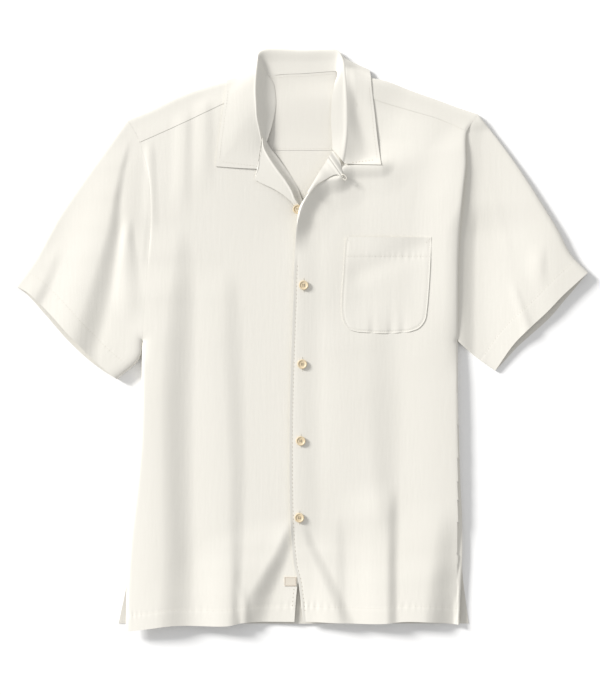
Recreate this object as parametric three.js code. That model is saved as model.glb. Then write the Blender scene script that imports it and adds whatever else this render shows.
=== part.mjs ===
// Short-sleeved camp shirt, laid flat with its front up.
// Millimetres. +X is the wearer's left, +Y runs to the collar, +Z is up from the surface it lies on.
// Every cloth piece is a wall of one thickness around a middle sheet.
import * as THREE from "three";
import { mergeVertices } from "three/addons/utils/BufferGeometryUtils.js";

// Driving sizes
const clothWall = 1.2;
const seamGap = 0.3;
const leafRoom = 2; // the back yoke lifts by this over the collar leaf folded under it
const layerStep = clothWall + seamGap; // from one sheet's middle to the next one's
const backHeight = clothWall / 2; // middle sheet of what lies on the surface
const topHeight = backHeight + layerStep; // lowest middle sheet of the upper layer
const puffLimit = 8.5; // the upper layer stands no higher than this above its edge, folds apart
const puffSlope = 0.045; // it keeps rising this much for each millimetre inwards
const hemLine = -396;
const backSeamLine = 265; // back yoke seam, seen inside the neck
const buttonDiameter = 13.4;
const buttonThickness = 2.6;
const loopThread = 1.4;
const edgeLift = 8; // the left front's centre edge stands up by this where the lapel turns out
const edgeLiftReach = 30;
const armShare = 0.4; // part of a panel's rows that runs along the armhole

const clothColour = 0xefebe0;
const buttonColour = 0xd6bf94;
const tabColour = 0xe6d8bd;

// Rows of numbers become objects with named columns
function table(columns, ...rows) {
  return rows.map((row) => Object.fromEntries(columns.map((name, i) => [name, row[i]])));
}

const xy = ["x", "y"];

// Outline of the laid shirt, piece by piece, each from the collar end to the hem end
const shoulderRight = table(
  xy,
  [-55, 379], [-80, 370], [-101, 363], [-131, 355], [-173, 340], [-214, 320], [-243, 308],
);
const shoulderLeft = table(
  xy,
  [55, 382], [76, 373], [93, 367], [122, 360], [150, 349], [192, 334], [219, 324], [246, 315],
);
const neckBack = table(xy, [-50, 368], [-25, 371], [1, 372], [28, 374], [51, 376]);
const yokeSeamRight = table(xy, [-52, 356], [-78, 344], [-111, 329], [-170, 301], [-226.2, 276]);
const yokeSeamLeft = table(xy, [53, 358], [68, 350], [107, 334], [153, 320], [192, 308], [230, 291]);
const armholeRight = table(
  xy,
  [-243, 308], [-228, 281], [-217, 246], [-212, 212], [-211, 157], [-213, 129], [-222, -2],
);
const armholeLeft = table(
  xy,
  [246, 315], [239, 305], [230, 288], [229, 243], [225, 206], [222, 173], [219, 126], [218, -2],
);
const sideRight = table(
  xy,
  [-222, -2], [-224, -125], [-228, -180], [-234, -235], [-239, -277], [-243, -332], [-245, -407],
);
const sideLeft = table(
  xy,
  [218, -2], [218, -69], [219, -111], [220, -152], [222, -208], [224, -249], [224, -305],
  [220, -398],
);
const sleeveOuterRight = table(
  xy,
  [-243, 308], [-259, 287], [-298, 234], [-339, 174], [-372, 115], [-400, 75],
);
const sleeveOuterLeft = table(
  xy,
  [246, 315], [275, 279], [311, 229], [336, 190], [358, 154], [377, 118], [400, 94],
);
const sleeveLowerRight = table(xy, [-222, -2], [-226, -25], [-258, -55]);
const sleeveLowerLeft = table(xy, [218, -2], [247, -26], [271, -43]);
const cuffRight = table(xy, [-400, 75], [-383, 66], [-353, 38], [-321, 3], [-286, -32], [-258, -55]);
const cuffLeft = table(xy, [400, 94], [363, 60], [344, 40], [312, 10], [296, -7], [271, -43]);

// Centre edges, from the neck down: neckline, roll line of the lapel, then the front's own edge
const centreRight = table(
  xy,
  [-52, 356], [-53, 336], [-57, 305], [-56, 280], [-44, 252], [-24, 222], [0, 184],
  [14, 158], [18, 56], [16, -140], [10, -252], [-6, -346], [-10, -394],
);
const centreLeft = table(
  xy,
  [53, 358], [52, 336], [50, 301], [47, 267], [27, 235], [10, 205], [-2, 186], [-6, 167],
  [-10, 109], [-12, 49], [-15, -35], [-17, -140], [-15, -268], [-10, -317], [-5, -336], [2, -393],
);
const hemRight = table(
  xy,
  [-245, -407], [-214, -403], [-181, -399], [-104, -399], [-81, -395], [-10, -394],
);
const hemLeft = table(xy, [220, -398], [192, -395], [150, -393], [108, -396], [53, -395], [2, -393]);

// A smooth line through the rows of a table
function lineThrough(rows) {
  const points = rows.map((row) => new THREE.Vector3(row.x, row.y, 0));
  const curve = new THREE.CatmullRomCurve3(points, false, "centripetal");
  return (t) => curve.getPointAt(THREE.MathUtils.clamp(t, 0, 1));
}

// Where a line that runs down the shirt passes a height
function shareAt(line, y) {
  let low = 0;
  let high = 1;
  for (let i = 0; i < 30; i += 1) {
    const middle = (low + high) / 2;
    if (line(middle).y > y) low = middle;
    else high = middle;
  }
  return low;
}

function partOf(line, from, to) {
  return (t) => line(from + (to - from) * t);
}

// Two lines, one after the other; the first takes the share of the whole that is given
function chain(first, second, share) {
  return (t) => (t < share ? first(t / share) : second((t - share) / (1 - share)));
}

// How the upper layer rolls up inwards from each closed edge:
// base is its height at the edge, height and roll the quarter round behind it
const closedEdges = [
  { base: 5, height: 2.5, roll: 6, rows: sideRight },
  { base: 6, height: 6, roll: 24, rows: sideLeft },
  { base: 2.5, height: 2, roll: 7, rows: shoulderRight },
  { base: 3, height: 3, roll: 9, rows: shoulderLeft },
  { base: 3, height: 2, roll: 6, rows: sleeveOuterRight },
  { base: 4.5, height: 3.5, roll: 9, rows: sleeveOuterLeft },
  { base: 3, height: 5, roll: 20, rows: sleeveLowerRight },
  { base: 3, height: 3, roll: 8, rows: sleeveLowerLeft },
  { base: 1.5, height: 3.5, roll: 40, rows: table(xy, [-50, 368], [-45, 300], [-5, 184]) },
  { base: 1.5, height: 3.5, roll: 40, rows: table(xy, [50, 360], [46, 270], [-2, 186]) },
];

function distanceToRows(rows, x, y) {
  let nearest = Infinity;
  for (let i = 1; i < rows.length; i += 1) {
    const a = rows[i - 1];
    const b = rows[i];
    const dx = b.x - a.x;
    const dy = b.y - a.y;
    const along = ((x - a.x) * dx + (y - a.y) * dy) / (dx * dx + dy * dy);
    const t = THREE.MathUtils.clamp(along, 0, 1);
    nearest = Math.min(nearest, Math.hypot(x - a.x - t * dx, y - a.y - t * dy));
  }
  return nearest;
}

// A quarter round: 0 at an edge, 1 from reach inwards
function rollUp(distance, reach) {
  return Math.sqrt(1 - THREE.MathUtils.clamp(1 - distance / reach, 0, 1) ** 2);
}

const smoothEdges = closedEdges.map((edge) => {
  const line = lineThrough(edge.rows);
  return { ...edge, rows: Array.from({ length: 25 }, (_, i) => line(i / 24)) };
});

function puff(x, y) {
  const sharpness = 1.2; // of the soft minimum, per millimetre
  let sum = Math.exp(-sharpness * puffLimit);
  for (const edge of smoothEdges) {
    const d = distanceToRows(edge.rows, x, y);
    const h = edge.base + edge.height * rollUp(d, edge.roll) + puffSlope * d;
    sum += Math.exp(-sharpness * h);
  }
  return Math.max(0, -Math.log(sum) / sharpness);
}

// Main folds of the upper layer. Each runs down the cloth: at height y its crest is at x,
// left and right are the widths of its two flanks, and rise is negative in a trough
const fold = ["y", "x", "left", "right", "rise"];
const folds = {
  sideFoldRight: table(
    fold,
    [165, -176, 98, 20, 0], [112, -180, 101, 31, 2.4], [56, -187, 105, 42, 5.5],
    [-7, -194, 109, 48, 7.5], [-84, -198, 109, 50, 8], [-182, -197, 109, 48, 7.5],
    [-308, -195, 109, 48, 7.5], [-403, -201, 109, 50, 8],
  ),
  chestFoldRight: table(
    fold,
    [109, -110, 70, 22, 0], [56, -111, 73, 28, 1.8], [-7, -113, 78, 34, 2.6], [-84, -108, 78, 31, 2.8],
    [-182, -103, 78, 28, 2.8], [-266, -103, 70, 25, 2.9], [-329, -100, 56, 18, 3.4],
    [-403, -102, 48, 20, 4.2],
  ),
  hemFoldRight: table(
    fold,
    [-255, -18, 36, 10, 0], [-291, -34, 48, 22, 3.6], [-325, -54, 53, 28, 5.8],
    [-356, -72, 50, 31, 6.4], [-403, -92, 42, 39, 5.6],
  ),
  hemFoldLeft: table(
    fold,
    [-255, -4, 11, 11, 0], [-287, 5, 20, 17, 2.4], [-325, 23, 34, 18, 3.4], [-403, 58, 50, 21, 3.6],
  ),
  hemRippleLeft: table(
    fold,
    [-231, 44, 36, 17, 0], [-287, 47, 36, 17, 1.3], [-403, 48, 36, 17, 1.5],
  ),
  placketFall: table(
    fold,
    [159, -5, 8, 34, 0], [109, -6, 8, 34, 1.8], [-112, -8, 8, 34, 2], [-238, -8, 8, 31, 2],
    [-269, -6, 8, 28, 0],
  ),
  bellyFoldLeft: table(
    fold,
    [61, 88, 78, 39, 0], [-14, 85, 84, 53, 2.6], [-84, 85, 84, 59, 3.8], [-161, 93, 84, 48, 3.6],
    [-224, 102, 84, 39, 2.8], [-297, 113, 70, 25, 0],
  ),
  bellyCreaseLeft: table(
    fold,
    [-193, 121, 70, 17, 0], [-252, 118, 76, 20, 3], [-308, 118, 76, 18, 4.2], [-403, 118, 76, 18, 4.5],
  ),
  armholeRidgeLeft: table(
    fold,
    [312, 246, 40, 20, 0], [262, 231, 60, 30, 3], [196, 226, 70, 40, 4], [60, 222, 80, 60, 4],
    [-60, 220, 84, 60, 0],
  ),
  sideFoldLeft: table(
    fold,
    [60, 194, 84, 84, 0], [-30, 194, 84, 84, 2.4], [-224, 194, 84, 84, 2.4], [-403, 191, 84, 84, 2.4],
  ),
  cornerFallLeft: table(
    fold,
    [-263, 188, 84, 25, 0], [-322, 181, 84, 36, 2.4], [-364, 174, 76, 42, 4.4],
    [-403, 169, 70, 45, 5.4],
  ),
  underYokeFold1: table(
    fold,
    [322, -164, 20, 13, 0], [299, -164, 20, 14, 1.1], [227, -166, 20, 17, 1], [151, -170, 22, 20, 0],
  ),
  underYokeFold2: table(
    fold,
    [341, -135, 20, 13, 0], [322, -135, 20, 14, 1.1], [266, -136, 20, 17, 1], [193, -138, 22, 20, 0],
  ),
  underYokeFold3: table(
    fold,
    [283, -214, 8, 10, 0], [257, -212, 11, 11, 1], [189, -211, 11, 13, 0.9], [137, -209, 14, 14, 0],
  ),
  sleeveFoldRight: table(
    fold,
    [285, -241, 56, 6, 0], [238, -255, 62, 11, 1.9], [196, -264, 67, 14, 3], [154, -272, 73, 21, 4.2],
    [112, -285, 76, 29, 5.2], [70, -298, 76, 36, 6], [28, -312, 70, 42, 6.4], [-14, -326, 62, 45, 6.4],
  ),
  sleeveRidgeRight: table(
    fold,
    [269, -237, 7, 20, 0], [224, -243, 7, 22, 1.4], [140, -246, 7, 17, 2], [70, -255, 8, 28, 2.2],
    [14, -268, 11, 34, 2], [-34, -284, 11, 34, 1.4],
  ),
  sleevePleatRight: table(
    fold,
    [176, -241, 10, 7, 0], [140, -244, 13, 13, 1.7], [98, -244, 17, 20, 2.3], [56, -243, 20, 25, 2.2],
    [17, -240, 20, 25, 0],
  ),
  cuffDentRight: table(
    fold,
    [137, -341, 34, 17, 0], [101, -354, 34, 17, 1.2], [67, -369, 34, 18, 2.2], [39, -383, 34, 18, 2],
  ),
  sleeveFoldLeft: table(
    fold,
    [299, 247, 11, 10, 0], [252, 255, 17, 13, 1.5], [196, 267, 20, 13, 1.6], [140, 282, 22, 14, 1.1],
    [92, 295, 22, 14, 0],
  ),
  sleevePleatLeft: table(
    fold,
    [185, 232, 8, 11, 0], [140, 250, 17, 21, 2], [84, 268, 25, 50, 4.2], [56, 279, 28, 48, 4.2],
    [14, 296, 31, 39, 3.6],
  ),
  cuffCreaseLeft: table(
    fold,
    [87, 293, 11, 7, 0], [61, 301, 13, 8, 1.4], [17, 316, 14, 10, 1.7],
  ),
  cuffDentLeft: table(
    fold,
    [140, 331, 22, 14, 0], [105, 331, 22, 14, 1.4], [64, 334, 22, 14, 0],
  ),
  sleeveRidgeLeft: table(
    fold,
    [126, 241, 8, 42, 0], [77, 253, 13, 36, 1.6], [28, 264, 20, 31, 2.4], [-14, 272, 22, 28, 2],
    [-45, 276, 22, 28, 1.2],
  ),
};

// A table's columns at height y, by a cubic through its rows, which go down in y
function rowAt(rows, y) {
  const last = rows.length - 1;
  if (y >= rows[0].y) return rows[0];
  if (y <= rows[last].y) return rows[last];
  let i = 0;
  while (rows[i + 1].y > y) i += 1;
  const span = rows[i].y - rows[i + 1].y;
  const t = (rows[i].y - y) / span;
  const ease = t * t * (3 - 2 * t);
  const out = {};
  for (const name of ["x", "left", "right", "rise"]) {
    out[name] = rows[i][name] + (rows[i + 1][name] - rows[i][name]) * (name === "rise" ? ease : t);
  }
  return out;
}

function foldHeight(x, y) {
  let height = 0;
  for (const rows of Object.values(folds)) {
    const row = rowAt(rows, y);
    const offset = x - row.x;
    const reach = offset < 0 ? row.left : row.right;
    const part = Math.min(Math.abs(offset) / reach, 1);
    height += (row.rise * (1 + Math.cos(Math.PI * part))) / 2;
  }
  return height;
}

// Room under the neck for the collar leaf that is folded behind
function neckLift(x, y) {
  const away = Math.hypot(Math.max(0, Math.abs(x) - 92), Math.max(0, 335 - y));
  return leafRoom * (1 - THREE.MathUtils.smoothstep(away, 0, 55));
}

const armLines = { right: lineThrough(armholeRight), left: lineThrough(armholeLeft) };

const armPoints = {
  right: Array.from({ length: 81 }, (_, i) => armLines.right(i / 80)),
  left: Array.from({ length: 81 }, (_, i) => armLines.left(i / 80)),
};

// How far a place is outside an armhole, negative on the body
function besideArm(points, side, x, y) {
  let i = 1;
  while (i < points.length - 1 && points[i].y > y) i += 1;
  const from = points[i - 1];
  const to = points[i];
  const part = THREE.MathUtils.clamp((from.y - y) / (from.y - to.y), 0, 1);
  return side * (x - from.x - (to.x - from.x) * part);
}

// The front's edge rolls down to the left sleeve's seam by a drop, within a roll; beyond it the sleeve dips
// and rises again. The top numbers are by the shoulder, the side ones further down
const armSeam = {
  sleeveFoot: 4.2,
  topDrop: 1.2,
  topRoll: 6,
  sideDrop: 4.6,
  sideRoll: 20,
  dip: 0.8,
  dipBelow: 1.8,
  dipWidth: 24,
  riseFrom: 14,
  riseTo: 60,
  groove: 1.2,
};

function smooth(value, low, high) {
  return THREE.MathUtils.smoothstep(value, low, high);
}

function leftArmTop(y) {
  return 1 - smooth(y, 290, 313);
}

function atArmholes(x, y, height) {
  const out = besideArm(armPoints.left, 1, x, y);
  const soft = 1 - smooth(y, 145, 195);
  let target;
  if (out < seamGap) {
    const drop = armSeam.topDrop + (armSeam.sideDrop - armSeam.topDrop) * soft;
    const roll = armSeam.topRoll + (armSeam.sideRoll - armSeam.topRoll) * soft;
    target = height - drop * (1 - rollUp(Math.max(0, -out), roll)) * smooth(y, -60, 0);
  } else {
    const foot = topHeight + armSeam.sleeveFoot;
    const across = THREE.MathUtils.clamp(out / armSeam.dipWidth, 0, 1);
    const dip = (armSeam.dip + armSeam.dipBelow * soft) * Math.sin(Math.PI * across);
    target = foot - dip + (height - foot) * smooth(out, armSeam.riseFrom, armSeam.riseTo);
  }
  const fell = height + (target - height) * leftArmTop(y) * Math.min(1, height / 8);
  const beside = besideArm(armPoints.right, -1, x, y);
  const groove = beside < 0 ? 1 - rollUp(-beside, 5) : 1 - smooth(beside, 1, 9);
  return fell - armSeam.groove * groove * smooth(y, -2, 40) * (1 - smooth(y, 262, 290));
}

// Middle sheet of the upper layer
function upper(x, y) {
  const lowest = topHeight + 0.2;
  const rise = puff(x, y);
  const raw = topHeight + rise + foldHeight(x, y) * smooth(rise, 0.8, 4.5);
  const soft = 1.2;
  const kept = lowest + soft * Math.log(1 + Math.exp((raw - lowest) / soft));
  return atArmholes(x, y, raw + (kept - raw) * Math.min(1, rise / 3)) + neckLift(x, y);
}

// Middle sheet of what lies on the surface
function lower(x, y) {
  return backHeight + neckLift(x, y);
}

// The upper front lies one layer above the under front, and settles further out
function overlapStep(x) {
  return layerStep * 1.55 * (1 - smooth(x, 28, 90));
}

// Its edge stands up where the lapel leaves it
function edgeStand(x, y) {
  const along = smooth(y, 120, 190) * (1 - smooth(y, 236, 268));
  return edgeLift * along * Math.exp(-distanceToRows(centreLeft, x, y) / edgeLiftReach);
}

function upperFront(x, y) {
  return upper(x, y) + overlapStep(x) + edgeStand(x, y);
}

// A sheet of points: rows of columns, some rows joined end to start when it is a tube
function gridSheet(columns, rows, place, closed = false) {
  const points = [];
  for (let j = 0; j <= rows; j += 1) {
    for (let i = 0; i < columns + (closed ? 0 : 1); i += 1) {
      points.push(place(i / columns, j / rows));
    }
  }
  const width = closed ? columns : columns + 1;
  const quads = [];
  for (let j = 0; j < rows; j += 1) {
    for (let i = 0; i < columns; i += 1) {
      const next = (i + 1) % width;
      quads.push([j * width + i, j * width + next, (j + 1) * width + next, (j + 1) * width + i]);
    }
  }
  return { points, quads };
}

// A wall of the cloth's thickness around a sheet, closed by a rim along its free edges
function wallAround(sheet, thickness = clothWall) {
  const { points, quads } = sheet;
  const normals = points.map(() => new THREE.Vector3());
  for (const quad of quads) {
    for (let k = 0; k < 4; k += 1) {
      const here = points[quad[k]];
      const before = points[quad[(k + 3) % 4]].clone().sub(here);
      const after = points[quad[(k + 1) % 4]].clone().sub(here);
      const cross = after.cross(before);
      if (cross.lengthSq() > 1e-12) normals[quad[k]].add(cross.normalize());
    }
  }
  const count = points.length;
  const positions = [];
  for (const side of [1, -1]) {
    points.forEach((point, i) => {
      const moved = point.clone().addScaledVector(normals[i].normalize(), (side * thickness) / 2);
      positions.push(moved.x, moved.y, moved.z);
    });
  }
  const index = [];
  const edges = new Map();
  for (const [a, b, c, d] of quads) {
    index.push(a, b, c, a, c, d);
    index.push(count + a, count + c, count + b, count + a, count + d, count + c);
    for (const [from, to] of [[a, b], [b, c], [c, d], [d, a]]) {
      if (!edges.delete(`${to} ${from}`)) edges.set(`${from} ${to}`, [from, to]);
    }
  }
  for (const [from, to] of edges.values()) {
    index.push(to, from, count + from, to, count + from, count + to);
  }
  const geometry = new THREE.BufferGeometry();
  geometry.setAttribute("position", new THREE.Float32BufferAttribute(positions, 3));
  geometry.setIndex(index);
  return geometry;
}

// Blends four edge lines into a plan of points
function planBetween(top, bottom, left, right) {
  const corners = [top(0), top(1), bottom(0), bottom(1)];
  return (u, v) => {
    const point = top(u).multiplyScalar(1 - v).addScaledVector(bottom(u), v);
    point.addScaledVector(left(v), 1 - u).addScaledVector(right(v), u);
    point.addScaledVector(corners[0], -(1 - u) * (1 - v)).addScaledVector(corners[1], -u * (1 - v));
    return point.addScaledVector(corners[2], -(1 - u) * v).addScaledVector(corners[3], -u * v);
  };
}

// Columns crowd towards both sides, where the cloth turns most
function crowded(u, amount = 0.45) {
  return u - (amount * Math.sin(2 * Math.PI * u)) / (2 * Math.PI);
}

const cloth = new THREE.MeshStandardMaterial({ color: clothColour, roughness: 0.62, metalness: 0 });
const horn = new THREE.MeshStandardMaterial({ color: buttonColour, roughness: 0.35, metalness: 0 });
const tabCloth = new THREE.MeshStandardMaterial({ color: tabColour, roughness: 0.8, metalness: 0 });

const shirt = new THREE.Group();

function add(name, geometry, material = cloth) {
  const mesh = new THREE.Mesh(geometry, material);
  mesh.name = name;
  shirt.add(mesh);
  return mesh;
}

// Back panel, flat on the surface from the yoke seam to the hem
function makeBack() {
  const hem = hemLine - 1;
  const edgeOf = (armhole, side) => {
    const arm = partOf(armhole, shareAt(armhole, backSeamLine), 1);
    return chain(arm, lineThrough(side), armShare);
  };
  const right = edgeOf(armLines.right, [...sideRight.slice(0, -1), ...table(xy, [-256, hem])]);
  const left = edgeOf(armLines.left, [...sideLeft.slice(0, -1), ...table(xy, [226, -335], [234, hem])]);
  const top = (t) => right(0).lerp(left(0), t);
  const bottom = lineThrough(table(xy, [-256, hem], [0, hem], [234, hem]));
  const plan = planBetween(top, bottom, right, left);
  const sheet = gridSheet(8, 16, (u, v) => plan(1 - u, v));
  sheet.points.forEach((point) => point.setZ(lower(point.x, point.y)));
  return wallAround(sheet);
}

// Yoke: the lower sheet over the full width, and a wrap over each shoulder to the front seam
function makeYoke() {
  const seamY = backSeamLine + seamGap;
  const wrapColumns = 8;
  const neckColumns = 8;
  const lowerRows = 5;
  const upperRows = 4;
  const inset = 1.2;
  const lines = {
    right: { fold: lineThrough(shoulderRight), seam: lineThrough(yokeSeamRight), columns: wrapColumns },
    neck: { fold: lineThrough(neckBack), columns: neckColumns },
    left: { fold: lineThrough(shoulderLeft), seam: lineThrough(yokeSeamLeft), columns: wrapColumns },
  };
  const tops = [];
  for (let i = wrapColumns; i >= 0; i -= 1) {
    tops.push({ at: lines.right.fold(i / wrapColumns), seam: lines.right.seam(i / wrapColumns) });
  }
  for (let i = 0; i <= neckColumns; i += 1) tops.push({ at: lines.neck.fold(i / neckColumns) });
  for (let i = 0; i <= wrapColumns; i += 1) {
    tops.push({ at: lines.left.fold(i / wrapColumns), seam: lines.left.seam(i / wrapColumns) });
  }
  const points = [];
  const quads = [];
  const last = tops.length - 1;
  const feet = [armLines.right, armLines.left].map((line) => line(shareAt(line, seamY)));
  const columns = tops.map((top, i) => {
    const foot = feet[0].clone().lerp(feet[1], i / last);
    const column = [];
    const inwards = top.seam ? inset : 0;
    const end = top.at.clone().add(new THREE.Vector3(0, -inwards, 0));
    const armLine = i < last / 2 ? armLines.right : armLines.left;
    const nearArm = Math.max(0, 1 - Math.min(i, last - i) / 4) ** 2;
    const bend = (from, to, share) => {
      const straight = from.clone().lerp(to, share);
      if (nearArm === 0) return straight;
      const first = i < last / 2 ? 0 : last;
      const armFrom = first === i ? from : armLine(shareAt(armLine, from.y));
      const armTo = first === i ? to : armLine(shareAt(armLine, to.y));
      const y = armFrom.y + (armTo.y - armFrom.y) * share;
      const chord = armFrom.x + (armTo.x - armFrom.x) * share;
      straight.x += (armLine(shareAt(armLine, y)).x - chord) * nearArm;
      return straight;
    };
    for (let j = 0; j <= lowerRows; j += 1) {
      const point = bend(foot, end, j / lowerRows);
      point.setZ(lower(point.x, point.y));
      column.push(points.push(point) - 1);
    }
    if (top.seam) {
      const start = upper(end.x, end.y);
      const turn = top.at.clone().setZ((start + lower(end.x, end.y)) / 2);
      column.push(points.push(turn) - 1);
      for (let j = 0; j <= upperRows; j += 1) {
        const point = bend(end, top.seam, (j / upperRows) ** 1.3);
        if (j === upperRows) point.y += seamGap;
        point.setZ(upper(point.x, point.y));
        column.push(points.push(point) - 1);
      }
    }
    return column;
  });
  for (let i = 1; i < columns.length; i += 1) {
    const shared = Math.min(columns[i - 1].length, columns[i].length);
    for (let j = 1; j < shared; j += 1) {
      quads.push([columns[i - 1][j - 1], columns[i][j - 1], columns[i][j], columns[i - 1][j]]);
    }
  }
  return wallAround({ points, quads });
}

// Each front turns down along its outer edge: to the back at the side, less where it is free at the vent
const turnUnder = { columns: 2, inset: 3.5, seamInset: 0.8, free: 0.5, armDepth: 0.8, ventTop: -340 };

function turnedUnder(point, facing, angle) {
  const side = 1 - smooth(point.y, -25, 5);
  const sewn = smooth(point.y, turnUnder.ventTop - 12, turnUnder.ventTop + 8);
  const aboveSleeve = (point.z - topHeight - armSeam.sleeveFoot + 0.6) * leftArmTop(point.y);
  const atArm = Math.max(turnUnder.free, facing > 0 ? aboveSleeve : turnUnder.armDepth);
  const atSide = point.z - topHeight;
  const depth = turnUnder.free + (atArm * (1 - side) + atSide * side - turnUnder.free) * sewn;
  const inset = turnUnder.seamInset + (turnUnder.inset - turnUnder.seamInset) * side * sewn;
  point.x -= facing * inset * (1 - Math.cos(angle));
  point.z -= depth * Math.sin(angle);
  return point;
}

// Fronts: from the front yoke seam to the hem, each with its armhole, side and centre edge
function makeFront(top, hem, armhole, side, centre, height, facing) {
  const across = 18;
  const columns = across + turnUnder.columns;
  const lifted = top.map((row) => ({ x: row.x, y: row.y - 2 * seamGap }));
  const topLine = lineThrough(lifted);
  const hemBack = lineThrough(hem);
  const arm = partOf(armhole, shareAt(armhole, lifted[lifted.length - 1].y), 1);
  const outerLine = chain(arm, lineThrough(side), armShare);
  const centreLine = lineThrough(centre.map((row, i) => (i ? row : lifted[0])));
  const plan = planBetween(topLine, (u) => hemBack(1 - u), centreLine, outerLine);
  const rows = 34;
  const crowdUp = 1.3; // its rows are closer near the collar
  const sheet = gridSheet(columns, rows, (u, v) => {
    const step = Math.round((facing > 0 ? 1 - u : u) * columns);
    const point = plan(crowded(Math.min(1, step / across)), v ** crowdUp);
    point.setZ(height(point.x, point.y));
    const angle = (Math.max(0, step - across) / turnUnder.columns) * (Math.PI / 2);
    return turnedUnder(point, facing, angle);
  });
  return wallAround(sheet);
}

// A sleeve: its upper and lower sheets are one tube, folded along its outer and under edges
function makeSleeve(outerRows, lowerRows, armholeLine, cuffRows, side) {
  const apart = 1.3;
  const away = new THREE.Vector3(side < 0 ? apart : -apart, 0, 0);
  const shifted = (rows) => rows.map((row, i) => (i ? row : { x: row.x + away.x, y: row.y }));
  const outer = lineThrough(shifted(outerRows));
  const under = lineThrough(shifted(lowerRows));
  const armhole = (t) => armholeLine(t).add(away);
  const cuff = lineThrough(cuffRows);
  const plan = planBetween(armhole, cuff, outer, under);
  const across = 12;
  const around = 2 * across + 2;
  const inset = 1.2;
  const sheet = gridSheet(around, 10, (u, v) => {
    const step = Math.round(u * around);
    if (step === 0 || step === across + 1) {
      const edge = plan(step ? 1 : 0, v);
      return edge.setZ((upper(edge.x, edge.y) + backHeight) / 2);
    }
    const onTop = step <= across;
    const share = onTop ? (step - 1) / (across - 1) : (around - 1 - step) / (across - 1);
    const width = plan(0, v).distanceTo(plan(1, v));
    const margin = inset / width;
    const point = plan(margin + (1 - 2 * margin) * crowded(share, 0.5), v);
    return point.setZ(onTop ? upper(point.x, point.y) : lower(point.x, point.y));
  }, true);
  if (side < 0) sheet.quads.forEach((quad) => quad.reverse());
  return wallAround(sheet);
}

// A turned piece, given by sections from its inner edge over a crest to its outer edge.
// tilt is the direction the crest points: 0 away from the neck, 90 straight up.
// turn is the radius of the roll, and sag how far the leaf has dropped half way out
const section = [
  "innerX", "innerY", "innerZ", "crestX", "crestY", "crestZ", "outerX", "outerY", "outerZ",
  "tilt", "turn", "sag", "corner", "under",
];

function sectionValue(rows, name, t) {
  const last = rows.length - 1;
  const i = Math.min(Math.floor(t), last - 1);
  const part = t - i;
  const value = (k) => rows[THREE.MathUtils.clamp(k, 0, last)][name];
  const sharp = (k) => name.startsWith("outer") && rows[k].corner;
  const from = value(i);
  const to = value(i + 1);
  const leave = i === 0 || sharp(i) ? to - from : (to - value(i - 1)) / 2;
  const arrive = i + 1 === last || sharp(i + 1) ? to - from : (value(i + 2) - from) / 2;
  const p2 = part * part;
  const p3 = p2 * part;
  const slopes = leave * (p3 - 2 * p2 + part) + arrive * (p3 - p2);
  return from * (2 * p3 - 3 * p2 + 1) + to * (3 * p2 - 2 * p3) + slopes;
}

// A leaf stays this high above what it lies on, and slopes down past the shoulder's edge
const leafClear = { height: 2.1, margin: 1.5, slope: 0.8 };

function sectionPoint(rows, t, v) {
  const at = (name) => sectionValue(rows, name, t);
  const inner = new THREE.Vector3(at("innerX"), at("innerY"), at("innerZ"));
  const crest = new THREE.Vector3(at("crestX"), at("crestY"), at("crestZ"));
  const outer = new THREE.Vector3(at("outerX"), at("outerY"), at("outerZ"));
  const turn = at("turn");
  const tilt = THREE.MathUtils.degToRad(at("tilt"));
  const away = crest.clone().sub(inner).setZ(0).normalize();
  const lift = away.clone().multiplyScalar(Math.cos(tilt)).setZ(Math.sin(tilt));
  const sideways = away.clone().multiplyScalar(-Math.sin(tilt)).setZ(Math.cos(tilt));
  const centre = crest.clone().addScaledVector(lift, -turn);
  const rollIn = centre.clone().addScaledVector(sideways, turn);
  const rollOut = centre.clone().addScaledVector(sideways, -turn);
  const midIn = rollIn.clone().lerp(inner, 0.5);
  const midOut = rollOut.clone().lerp(outer, 0.5);
  midOut.z = rollOut.z + (outer.z - rollOut.z) * at("sag");
  const across = [inner, midIn, rollIn, crest, rollOut, midOut, outer];
  const line = new THREE.CatmullRomCurve3(across, false, "centripetal");
  const point = line.getPoint(v);
  const below = yokeEdgeY(point.x) - point.y;
  const y = point.y - Math.max(0, leafClear.margin - below);
  const surface = point.x > 0 ? Math.max(upper(point.x, y), upperFront(point.x, y)) : upper(point.x, y);
  const over = surface + leafClear.height - leafClear.slope * Math.max(0, -below);
  if (v > 0.5 && at("under") > 0.5) {
    if (below > 0) point.z = Math.min(point.z, backHeight);
  } else if (v > 0.5) {
    point.z = Math.max(point.z, over);
  } else if (below > 0) {
    point.z = Math.max(point.z, lower(point.x, point.y) + layerStep + 0.1);
  }
  point.z = Math.max(point.z, backHeight);
  return point;
}

// Where the yoke folds over the shoulder, or ends at the back neck
function yokeEdgeY(x) {
  const rows = [...shoulderRight].reverse().concat(neckBack, shoulderLeft);
  for (let i = 1; i < rows.length; i += 1) {
    if (x <= rows[i].x) {
      const part = (x - rows[i - 1].x) / Math.max(1e-6, rows[i].x - rows[i - 1].x);
      return rows[i - 1].y + (rows[i].y - rows[i - 1].y) * THREE.MathUtils.clamp(part, 0, 1);
    }
  }
  return rows[rows.length - 1].y;
}

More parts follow.
